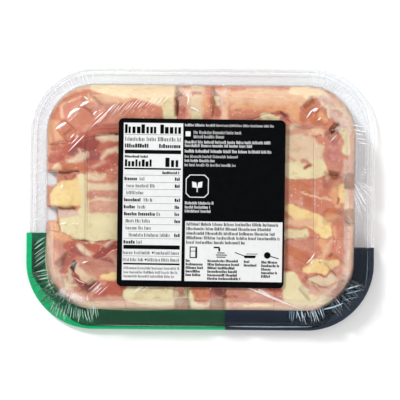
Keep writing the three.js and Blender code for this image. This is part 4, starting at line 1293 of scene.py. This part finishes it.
def row_lines(rng):
    for tone, strength, half, start, step, count, run in FOLD_ROWS.values():
        for number in range(count):
            first = np.array(start) + np.array(step) * number
            jitter = rng.uniform(-ROW_JITTER, ROW_JITTER, 2) * (count > 1)
            reach = rng.uniform(*ROW_REACHES) if count > LONG_ROW else 1
            last = first + np.array(run) * reach
            fade = rng.uniform(*ROW_FADES) if count > LONG_ROW else 1
            yield tone, strength * fade, half, [first + jitter, last + jitter]


def fan_lines(rng):
    for tone, strength, half, centre, angles, radii, count in FOLD_FANS.values():
        for number in range(count):
            share = (number + rng.uniform(*FAN_PLACES)) / count
            turn = math.radians(blend(*angles, share))
            bend = math.radians(rng.normal(0, FAN_BEND))
            depth = radii[1] - radii[0]
            inner = radii[0] + depth * rng.uniform(*FAN_INNER)
            outer = radii[1] - depth * rng.uniform(*FAN_OUTER)
            points = []
            for part in (0, 0.5, 1):
                angle = turn + bend * part**2
                ray = np.array([math.cos(angle), math.sin(angle)])
                points.append(np.array(centre) + blend(inner, outer, part) * ray)
            yield tone, strength * rng.uniform(*FAN_FADES), half * rng.uniform(*FAN_WIDTHS), points


def speck_lines(rng):
    for left, top, right, bottom, count in SPECKS:
        for _ in range(count):
            place = rng.uniform((left, top), (right, bottom))
            lead = rng.uniform(*SPECK_LEADS)
            yield "bright", rng.uniform(*SPECK_FADES), rng.uniform(*SPECK_WIDTHS), [place, place + lead]


def rim_lines():
    for tone, strength, half, inset, height in RIM_LINES:
        ring = rings_at(outline(RIM_STEPS), [inset], [1])[0]
        clear = ~printed(ring)
        start = int(np.argmax(clear & ~np.roll(clear, 1)))
        order = (np.arange(RIM_STEPS) + start) % RIM_STEPS
        chosen = ring[order][: int(clear.sum())]
        yield tone, strength, half, photo_pixels(at_height(chosen, height))


def fold_lines():
    """Every fold of the wrap as a painted highlight or shade tone, a strength, a half-width and its points
    in the photograph.
    """
    rng = np.random.default_rng(FOLD_SEED)
    yield from row_lines(rng)
    yield from fan_lines(rng)
    yield from GLINTS.values()
    yield from speck_lines(rng)
    yield from rim_lines()


def camera_ray(pixel):
    """The camera's eye and the way in which it sees a photograph pixel, in metres."""
    scale = 2 * math.tan(CAMERA_ANGLE / 2) / PHOTO_SIDE
    across = (pixel[0] - PHOTO_SIDE / 2) * scale
    up = (PHOTO_SIDE / 2 - pixel[1]) * scale
    x = across * math.cos(CAMERA_TURN) - up * math.sin(CAMERA_TURN)
    y = across * math.sin(CAMERA_TURN) + up * math.cos(CAMERA_TURN)
    eye = Vector((CAMERA_X, CAMERA_Y, CAMERA_HEIGHT)) * MM
    return eye, Vector((x, y, -1)).normalized()


# Folds are drawn in steps of pixels, a little above the skin and its print. A pixel there is PIXEL mm.
FOLD_SEED = 17
FOLD_STEP = 1.1
FOLD_LIFT = 0.1
PIXEL = 0.61
FOLD_TAPER = 0.6
FOLD_END = 0.3
CREST_SHARE = 0.7
CREST_MOST = 0.4
CREST_LIFT = 0.02


def fold_ridge(spots, half):
    """A ridge's points, three to each spot: a foot, the crest and the other foot."""
    count = len(spots)
    made = []
    for number, (place, normal) in enumerate(spots):
        lead = spots[min(number + 1, count - 1)][0] - spots[max(number - 1, 0)][0]
        aside = np.cross(normal, lead)
        aside /= max(np.linalg.norm(aside), 1e-9)
        along = (number + FOLD_END) / (count - 1 + 2 * FOLD_END)
        width = half * PIXEL * math.sin(math.pi * along) ** FOLD_TAPER
        crest = min(width * CREST_SHARE, CREST_MOST) + CREST_LIFT
        base = place + normal * FOLD_LIFT
        made += [base + aside * width, base + normal * crest, base - aside * width]
    return made


def ridge_faces(start, count):
    faces = []
    for number in range(count - 1):
        a = start + number * 3
        b = a + 3
        faces += [[a, b, b + 1, a + 1], [a + 1, b + 1, b + 2, a + 2], [a + 2, b + 2, b, a]]
    last = start + (count - 1) * 3
    return faces + [[start, start + 1, start + 2], [last, last + 2, last + 1]]


def make_folds(wrap, material):
    """The wrap's folds as narrow ridges that follow its skin, with painted highlight and shade tones along
    their crests.
    """
    skin = BVHTree.FromObject(wrap, bpy.context.evaluated_depsgraph_get())
    vertices = []
    faces = []
    tones = []
    mists = []
    strengths = []
    for tone, strength, half, points in fold_lines():
        hits = [skin.ray_cast(*camera_ray(point)) for point in spaced(points, FOLD_STEP)]
        spots = [(np.array(hit[0]) / MM, np.array(hit[1])) for hit in hits if hit[0] is not None]
        count = len(spots)
        if count < 3:
            continue
        faces += ridge_faces(len(vertices), count)
        vertices += fold_ridge(spots, half)
        tones += [linear(FOLD_TONES[tone])] * 3 * count
        mists += [0, 1, 0] * count
        strengths += [strength] * 3 * count
    attributes = {
        "tone": with_alpha(np.array(tones)), "mist": np.array(mists), "strength": np.array(strengths),
    }
    return mesh_piece("wrap_folds", vertices, faces, material, attributes)


def spaced(points, step):
    """Points along a polyline about a step apart."""
    points = np.array(points, float)
    lengths = along_section(points)
    stops = np.linspace(0, lengths[-1], max(4, int(lengths[-1] / step) + 1))
    return np.stack([np.interp(stops, lengths, points[:, axis]) for axis in (0, 1)], -1)


# Where the printed fields of the front begin and end, as plan positions
GREEN_TOP = -22.6
NAVY_TOP = -30.3
FIELDS_MEET = 15.8
SIDE_REACH = 3.9
LOW_REACH = 2
CORNER_REACH = 8.5
CORNER_TURN = (0.2, 0.9)
FIELDS_OVERLAP = 0.6
PRINT_INSIDE = 14
PRINT_LIFT = 0.07
PRINT_SHEET = 0.03
PRINT_EDGE = (4, 41, 0.8)
PRINT_SHARES = np.concatenate([np.linspace(0, 0.4, 4), np.linspace(0.44, 1, 20)])


def in_green(plan):
    return (plan[:, 0] < FIELDS_MEET + FIELDS_OVERLAP) & (plan[:, 1] < GREEN_TOP)


def in_navy(plan):
    return (plan[:, 0] >= FIELDS_MEET) & (plan[:, 1] < NAVY_TOP)


def printed(points):
    """Whether points lie over the front's printed fields."""
    return in_green(points) | in_navy(points)


def printed_columns(inside):
    """The outline's points and inward directions that lie in a printed field, in order."""
    points, inwards = outline(PRINT_COLUMNS)
    chosen = inside(points)
    order = np.roll(np.arange(PRINT_COLUMNS), -int(np.argmin(chosen)) - 1)
    order = order[chosen[order]]
    return points[order], inwards[order]


def make_print(name, inside, material):
    """A printed field: round the rim from the front's inside to a little way up the skirt."""
    points, inwards = printed_columns(inside)
    marks = along_section(WRAP_SECTION)
    turned = np.abs(inwards).min(axis=1) / math.sqrt(0.5)
    reach = blend(SIDE_REACH, LOW_REACH, np.abs(inwards[:, 1]))
    reach = blend(reach, CORNER_REACH, smoothstep(*CORNER_TURN, turned))
    reach = reach + clouds(points, [PRINT_EDGE]) * turned
    slope = (marks[6] - marks[5]) / (WRAP_SECTION[6, 0] - WRAP_SECTION[5, 0])
    last = marks[5] + (reach - WRAP_SECTION[5, 0]) * slope
    first = np.full(len(points), marks[1] - PRINT_INSIDE)
    distance = blend(first, last, PRINT_SHARES[:, None])
    skin = wrap_points((points, inwards), distance, PRINT_LIFT)
    return strip_piece(name, skin, material)


def strip_piece(name, skin, material):
    """A thin closed strip from rings that don't go all the way round."""
    piece = mesh_piece(name, skin.reshape(-1, 3), grid_quads(*skin.shape[:2], False), material)
    add_thickness(piece, PRINT_SHEET, 0)
    return piece


# The inner side of the printed front, seen through the flange
BACK_LEVEL = 0.3
BACK_RINGS = np.linspace(1.6, 17, 6)


def make_print_back(name, inside, material):
    plan = rings_at(printed_columns(inside), BACK_RINGS, np.ones(len(BACK_RINGS)))
    return strip_piece(name, at_height(plan, BACK_LEVEL), material)


# The label's print, in millimetres from the label's upper left corner

LABEL_PRINT_LIFT = 0.03
INK_THICKNESS = 0.02
# How much ink spreads: black strokes look wider than white ones
WHITE_SPREAD = 0.95
BLACK_SPREAD = 1.3
# A word's strokes: how many, then widths, gaps and rises as shares of the line's height
WORD_STROKES = (4, 15)
STROKE_WIDTHS = (0.12, 0.2)
STROKE_GAPS = (0.12, 0.24)
TALL_RISE = 0.5
SHORT_RISE = 0.24
TALL_SHARE = 0.3
WORD_GAP = 0.32
LEAST_ROOM = 0.3


class Print:
    """Flat shapes of one ink, gathered into one thin mesh on the label."""

    def __init__(self, lift, spread):
        self.vertices = []
        self.faces = []
        self.lift = lift
        self.spread = spread

    def shape(self, points):
        start = len(self.vertices)
        count = len(points)
        for z in (self.lift, self.lift + INK_THICKNESS):
            self.vertices += [on_label(x, y, z) for x, y in points]
        self.faces.append(list(range(start, start + count))[::-1])
        self.faces.append(list(range(start + count, start + 2 * count)))
        for i in range(count):
            j = (i + 1) % count
            self.faces.append([start + i, start + j, start + count + j, start + count + i])

    def bar(self, left, top, right, bottom):
        self.shape([(left, bottom), (right, bottom), (right, top), (left, top)])

    def words(self, left, right, middle, height, weight, seed):
        """A line of print as words of short upright strokes, as if it were too fine to read."""
        rng = np.random.default_rng(seed)
        x = left
        while x < right - height * LEAST_ROOM:
            for number in range(rng.integers(*WORD_STROKES)):
                stroke = height * rng.uniform(*STROKE_WIDTHS) * weight * self.spread
                if x + stroke > right:
                    return
                tall = number == 0 or rng.random() < TALL_SHARE
                rise = height * (TALL_RISE if tall else SHORT_RISE)
                self.bar(x, middle - rise, x + stroke, middle + height / 2)
                x += stroke + height * rng.uniform(*STROKE_GAPS) / math.sqrt(weight)
            x += height * WORD_GAP

    def disc(self, x, y, radius, sides=20):
        angles = [-i * 2 * math.pi / sides for i in range(sides)]
        self.shape([(x + radius * math.cos(a), y + radius * math.sin(a)) for a in angles])

    def frame(self, left, top, right, bottom, width):
        self.bar(left, top, right, top + width)
        self.bar(left, bottom - width, right, bottom)
        self.bar(left, top + width, left + width, bottom - width)
        self.bar(right - width, top + width, right, bottom - width)

    def piece(self, name, material):
        made = mesh_piece(name, self.vertices, self.faces, material)
        made.data.polygons.foreach_set("use_smooth", np.zeros(len(made.data.polygons), bool))
        return made


def on_label(x, y, z):
    """A point of the label's face, from its upper left corner, in the pack's frame."""
    across = x - LABEL_LENGTH / 2
    up = LABEL_WIDTH / 2 - y
    turned_x = across * math.cos(LABEL_TURN) - up * math.sin(LABEL_TURN)
    turned_y = across * math.sin(LABEL_TURN) + up * math.cos(LABEL_TURN)
    return (LABEL_MIDDLE[0] + turned_x, LABEL_MIDDLE[1] + turned_y, LABEL_HIGH[2] + z)


TABLE_LEFT = 3.1
TABLE_RIGHT = 38.75
TABLE_TOP = 2.7
TABLE_BOTTOM = 97.1
ROW_PITCH = 4.22
ROW_START = 36.2
NOTES_LEFT = 40.7
NOTES_RIGHT = 99.1
NOTES_TOP = 61.3
NOTES_BOTTOM = 97.2
TABLE_MARGINS = (0.7, 1.1)
NOTES_MARGIN = 0.8
WORD_SPACE = 0.6
HAIRLINE = (-2.2, -2.04)
WORD_HEIGHT = 2.1
FIGURE_LEFT = 34.2
FIGURE_RIGHT = 37.6
FIGURE_HEIGHT = 2
INDENTED_ROW = 8
INDENT = 2.6
TABLE_DOTS = [(21.5, 80.5), (17.3, 84.7)]
DOT_RADIUS = 0.6
TILE = (40.2, 7.4, 43.2, 10.4)
HEAVY = 1.9
MEDIUM = 1.2
LIGHT = 0.85
LINE_SEED = 40
NOTE_SEED = 70
COLUMN_SEED = 90
HEAVY_SEED = 100
LIGHT_SEED = 120
FIGURE_SEED = 140

# Print in the table, in millimetres from the label's upper left: left, right, middle, height, weight
TABLE_WORDS = [
    (3.8, 23.2, 6.3, 5.4, 1.6), (25, 37.7, 6.3, 5.4, 1.6), (4.1, 37.4, 12.4, 2.5, LIGHT),
    (3.9, 18.5, 16.4, 2.4, HEAVY), (24.4, 37.6, 16.4, 2.4, HEAVY), (3.9, 17.9, 22.9, 1.5, HEAVY),
    (4, 20.2, 26.8, 4.3, 1.7), (28.3, 37.6, 26.2, 5.6, 1.8), (26.6, 37.4, 32.5, 1.6, HEAVY),
    (3.6, 20.4, 80.6, 2, LIGHT), (22.6, 37.5, 80.6, 2, LIGHT), (3.6, 16.2, 84.8, 2, LIGHT),
    (18.4, 37.5, 84.8, 2, LIGHT), (4.2, 37.5, 89.8, 1.6, LIGHT), (4.2, 36.8, 92.3, 1.6, LIGHT),
    (4.2, 34.6, 94.7, 1.6, LIGHT),
]

# The table's bars and hairlines: top and bottom
TABLE_BARS = [(18.9, 21.2), (29.7, 30.7), (76, 78.4), (86.8, 87.8), (9.6, 9.8), (82.5, 82.7)]

# The table's rows: where its heavy and light words start and end, and whether a figure ends it
TABLE_ROWS = [
    (3.9, 12.4, 15.8, True), (5.2, 5.2, 22.3, True), (5.2, 5.2, 16.7, False), (3.8, 15, 21, True),
    (3.7, 11.4, 17.3, True), (3.9, 22.8, 25.9, True), (5, 5, 20, True), (5, 5, 20, False),
    (7, 7, 31.6, True), (3.8, 11, 15, False),
]

# Lines of print on the dark field
LINE_WORDS = [
    (39.8, 51.4, 3.6, 1.6, MEDIUM), (52.4, 94, 3.6, 1.6, LIGHT), (45.1, 74, 7.9, 1.9, LIGHT),
    (45.1, 63.4, 10.5, 1.9, LIGHT), (39.9, 91.5, 13.7, 1.8, MEDIUM), (39.9, 80.4, 15.9, 1.8, MEDIUM),
    (39.9, 91.8, 19.2, 1.9, MEDIUM), (39.9, 72, 22.4, 1.7, LIGHT), (39.9, 57.8, 24.9, 1.7, MEDIUM),
    (39.9, 70.6, 27.5, 1.7, LIGHT), (40.4, 57.4, 50.3, 1.8, MEDIUM), (40.4, 55.8, 52.8, 1.8, MEDIUM),
    (40.4, 57, 55.2, 1.8, MEDIUM),
]

# The note's lines, and the columns of short lines under its pictures: left, top line, ends of lines
NOTE_START = 63
NOTE_PITCH = 2.73
NOTE_HEIGHT = 1.9
NOTE_ENDS = [96.7, 92.5, 94.8, 98.2, 77.2]
COLUMN_PITCH = 2.13
COLUMN_HEIGHT = 1.6
NOTE_COLUMNS = [
    (41.3, 84.9, [44.2, 52.4, 52, 50.4, 51]), (54.4, 84.9, [72.9, 73.5, 70.9, 72.4, 72.1, 75]),
    (76.2, 85.1, [79.7, 84.2]), (86.7, 85.3, [96.8, 97.5, 93.2, 96.5, 92.2]),
]

# The note's pictures: a cold store and its door, a tap over lines of water, a pan, and a dial with a probe
NOTE_STORE = (43.6, 76.5, 48.1, 83.4, 0.6)
NOTE_BARS = [
    (44.2, 79, 47.5, 79.4), (47, 77.4, 47.5, 82.8), (58, 76.4, 61.6, 77.3), (60.8, 77.3, 61.9, 79.2),
    (60.2, 79.8, 64.6, 80.4), (59.4, 81.05, 66, 81.65), (59.8, 82.3, 65.2, 82.9), (77.6, 80.3, 84.4, 80.7),
]
NOTE_SHAPES = [
    [(70.6, 79.9), (76, 81.9), (76.2, 81.4), (70.8, 79.4)],
    [(76.6, 83), (82.8, 83), (83.6, 81.4), (76, 81.4)],
    [(91.8, 82), (97, 83.4), (97.2, 82.9), (92, 81.4)],
]
NOTE_DIAL = (90.2, 81.2, 2)

# The badge, from its middle
BADGE_MIDDLE = (47.6, 40.2)
BADGE_HALF = 6.9
BADGE_CLIP = 2.4
BADGE_THIN = 0.93
BADGE_LEAF = [(0, 1.2), (0.6, -2.2), (3.1, -2.8), (2.9, 0.7)]
BADGE_STALK = (-0.3, 0.9, 0.3, 3.6)


def print_table(black):
    """The table on the left: a heading, heavy bars, and rows between hairlines."""
    left = TABLE_LEFT + TABLE_MARGINS[0]
    right = TABLE_RIGHT - TABLE_MARGINS[1]
    for number, line in enumerate(TABLE_WORDS):
        black.words(*line, number)
    for top, bottom in TABLE_BARS:
        black.bar(left, top, right, bottom)
    for row, (start, change, end, figure) in enumerate(TABLE_ROWS):
        middle = ROW_START + ROW_PITCH * row
        over, under = HAIRLINE
        black.bar(left + INDENT * (row == INDENTED_ROW), middle + over, right, middle + under)
        if change > start:
            black.words(start, change, middle, WORD_HEIGHT, HEAVY, HEAVY_SEED + row)
            change += WORD_SPACE
        black.words(change, end, middle, WORD_HEIGHT, LIGHT, LIGHT_SEED + row)
        if figure:
            black.words(FIGURE_LEFT, FIGURE_RIGHT, middle, FIGURE_HEIGHT, HEAVY, FIGURE_SEED + row)
    for x, y in TABLE_DOTS:
        black.disc(x, y, DOT_RADIUS)


def print_lines(white):
    """The fine lines of print on the label's dark field, with a small plain tile before one of them."""
    for number, line in enumerate(LINE_WORDS):
        white.words(*line, LINE_SEED + number)
    white.bar(*TILE)


def print_badge(white):
    """A plain badge: a thin square frame with clipped corners round a pair of leaves on a stalk."""
    x, y = BADGE_MIDDLE

    def place(point, share=1):
        return (x + point[0] * share, y + point[1] * share)

    ends = [(-BADGE_HALF, BADGE_HALF - BADGE_CLIP), (-BADGE_HALF, BADGE_CLIP - BADGE_HALF)]
    corners = [
        (across * c - down * s, across * s + down * c)
        for c, s in ((1, 0), (0, 1), (-1, 0), (0, -1))
        for across, down in ends
    ]
    for start, end in zip(corners, corners[1:] + corners[:1]):
        white.shape([place(start, BADGE_THIN), place(end, BADGE_THIN), place(end), place(start)])
    for side in (-1, 1):
        leaf = [place((side * across, down)) for across, down in BADGE_LEAF]
        white.shape(leaf[::-side])
    left, top, right, bottom = BADGE_STALK
    white.bar(x + left, y + top, x + right, y + bottom)


def print_notes(black):
    """The note on the right: lines of print, four plain pictures, and a short text under each."""
    for row, end in enumerate(NOTE_ENDS):
        middle = NOTE_START + NOTE_PITCH * row
        black.words(NOTES_LEFT + NOTES_MARGIN, end, middle, NOTE_HEIGHT, MEDIUM, NOTE_SEED + row)
    black.frame(*NOTE_STORE)
    for bar in NOTE_BARS:
        black.bar(*bar)
    for points in NOTE_SHAPES:
        black.shape(points)
    black.disc(*NOTE_DIAL)
    for column, (left, top, ends) in enumerate(NOTE_COLUMNS):
        for row, end in enumerate(ends):
            middle = top + COLUMN_PITCH * row
            black.words(left, end, middle, COLUMN_HEIGHT, HEAVY, COLUMN_SEED + column * 6 + row)


def make_label(black_ink, white_ink):
    """The label's print as two thin layers: white fields and lines, and black print over them."""
    white = Print(LABEL_PRINT_LIFT, WHITE_SPREAD)
    white.bar(TABLE_LEFT, TABLE_TOP, TABLE_RIGHT, TABLE_BOTTOM)
    white.bar(NOTES_LEFT, NOTES_TOP, NOTES_RIGHT, NOTES_BOTTOM)
    print_lines(white)
    print_badge(white)
    black = Print(LABEL_PRINT_LIFT * 2, BLACK_SPREAD)
    print_table(black)
    print_notes(black)
    return [white.piece("label_print_white", white_ink), black.piece("label_print_black", black_ink)]


# The floor, the lights and the camera. Places and sizes of lights are in metres.

FLOOR_HALF = 1500
# The world's light, and where it fades towards the dim part right above, which flat film reflects
WORLD_LIGHT = 1.0
OVERHEAD_LIGHT = 0.05
OVERHEAD_SPAN = (0.8, 0.95)
KEY_PLACE = (-0.55, 0.55, 0.88)
KEY_SIDE = 0.13
KEY_POWER = 9.0
FILL_PLACE = (0.7, -0.85, 0.55)
FILL_SIDE = 0.8
FILL_POWER = 5.0
# How many clear layers a ray may pass, in and out of the tray and the wrap
CLEAR_LAYERS = 32


def area_light(name, place, size, power):
    light = bpy.data.lights.new(name, "AREA")
    light.shape = "SQUARE"
    light.size = size
    light.energy = power
    lamp = bpy.data.objects.new(name, light)
    lamp.location = place
    lamp.rotation_euler = (-Vector(place)).to_track_quat("-Z", "Y").to_euler()
    bpy.context.scene.collection.objects.link(lamp)


def make_stage():
    side = FLOOR_HALF
    corners = [(-side, -side, 0), (side, -side, 0), (side, side, 0), (-side, side, 0)]
    floor = mesh_piece("floor", corners, [(0, 1, 2, 3)], floor_material())
    world = bpy.data.worlds.new("studio")
    world.use_nodes = True
    add = world.node_tree.nodes.new
    link = world.node_tree.links.new
    parts = add("ShaderNodeSeparateXYZ")
    link(add("ShaderNodeTexCoord").outputs["Generated"], parts.inputs[0])
    overhead = add("ShaderNodeMapRange")
    overhead.interpolation_type = "SMOOTHSTEP"
    link(parts.outputs["Z"], overhead.inputs["Value"])
    values = (*OVERHEAD_SPAN, WORLD_LIGHT, OVERHEAD_LIGHT)
    for key, value in zip(("From Min", "From Max", "To Min", "To Max"), values):
        overhead.inputs[key].default_value = value
    link(overhead.outputs[0], world.node_tree.nodes["Background"].inputs["Strength"])
    world.node_tree.nodes["Background"].inputs["Color"].default_value = (1, 1, 1, 1)
    bpy.context.scene.world = world
    area_light("key", KEY_PLACE, KEY_SIDE, KEY_POWER)
    area_light("fill", FILL_PLACE, FILL_SIDE, FILL_POWER)
    bpy.context.scene.view_settings.view_transform = "Standard"
    bpy.context.scene.cycles.transparent_max_bounces = CLEAR_LAYERS


def make_camera():
    camera = bpy.data.cameras.new("camera")
    camera.angle = CAMERA_ANGLE
    eye = bpy.data.objects.new("camera", camera)
    eye.location = (CAMERA_X * MM, CAMERA_Y * MM, CAMERA_HEIGHT * MM)
    eye.rotation_euler = (0, 0, CAMERA_TURN)
    bpy.context.scene.collection.objects.link(eye)
    bpy.context.scene.camera = eye


make_camera()
make_stage()
make_thighs(meat_material())

tray = make_tray(clear_material(
    "tray_plastic", tint=(0.975, 0.99, 1, 1), edge_tint=(0.82, 0.84, 0.86, 1),
    haze=0.001, roughness=0.06, shine=(0.004, 0.03), wave=0.1,
))
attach(tray, "root")
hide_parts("tray")

wrap = make_wrap(clear_material(
    "wrap_film", tint=(1, 1, 1, 1), edge_tint=(0.86, 0.87, 0.88, 1),
    haze=0.001, roughness=0.05, shine=(0.006, 0.04), wave=0.06,
))
folds = make_folds(wrap, fold_material())
for piece in (wrap, folds):
    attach(piece, "root")
    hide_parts("wrap")

# The front's printed fields: where each lies, then its ink and darker ink outside and inside
FIELDS = {
    # The green's inside is darker than its outside, partly painted shade
    "green": (in_green, (2, 164, 104), (1, 152, 92), (0, 108, 70), (0, 96, 60)),
    "navy": (in_navy, (38, 46, 58), (30, 38, 50), (14, 48, 80), (11, 40, 68)),
}
for field, (inside, front, front_dark, back, back_dark) in FIELDS.items():
    outer_ink = printed_material(f"{field}_ink", front, front_dark, roughness=0.5, shine=0.03)
    inner_ink = printed_material(f"{field}_ink_back", back, back_dark, roughness=0.5, shine=0.04)
    outer = make_print(f"front_print_{field}", inside, outer_ink)
    inner = make_print_back(f"front_print_{field}_back", inside, inner_ink)
    for piece in (outer, inner):
        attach(piece, "root")

BLACK_INKS = ((7, 8, 10), (4, 5, 7))
WHITE_INKS = ((212, 212, 212), (206, 207, 208))
label_black = printed_material("label_black", *BLACK_INKS, roughness=0.4, shine=0.05)
label_white = printed_material("label_white", *WHITE_INKS, roughness=0.45, shine=0.05)
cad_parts["label"].data.materials.clear()
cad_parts["label"].data.materials.append(label_black)
for piece in make_label(label_black, label_white):
    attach(piece, "root")
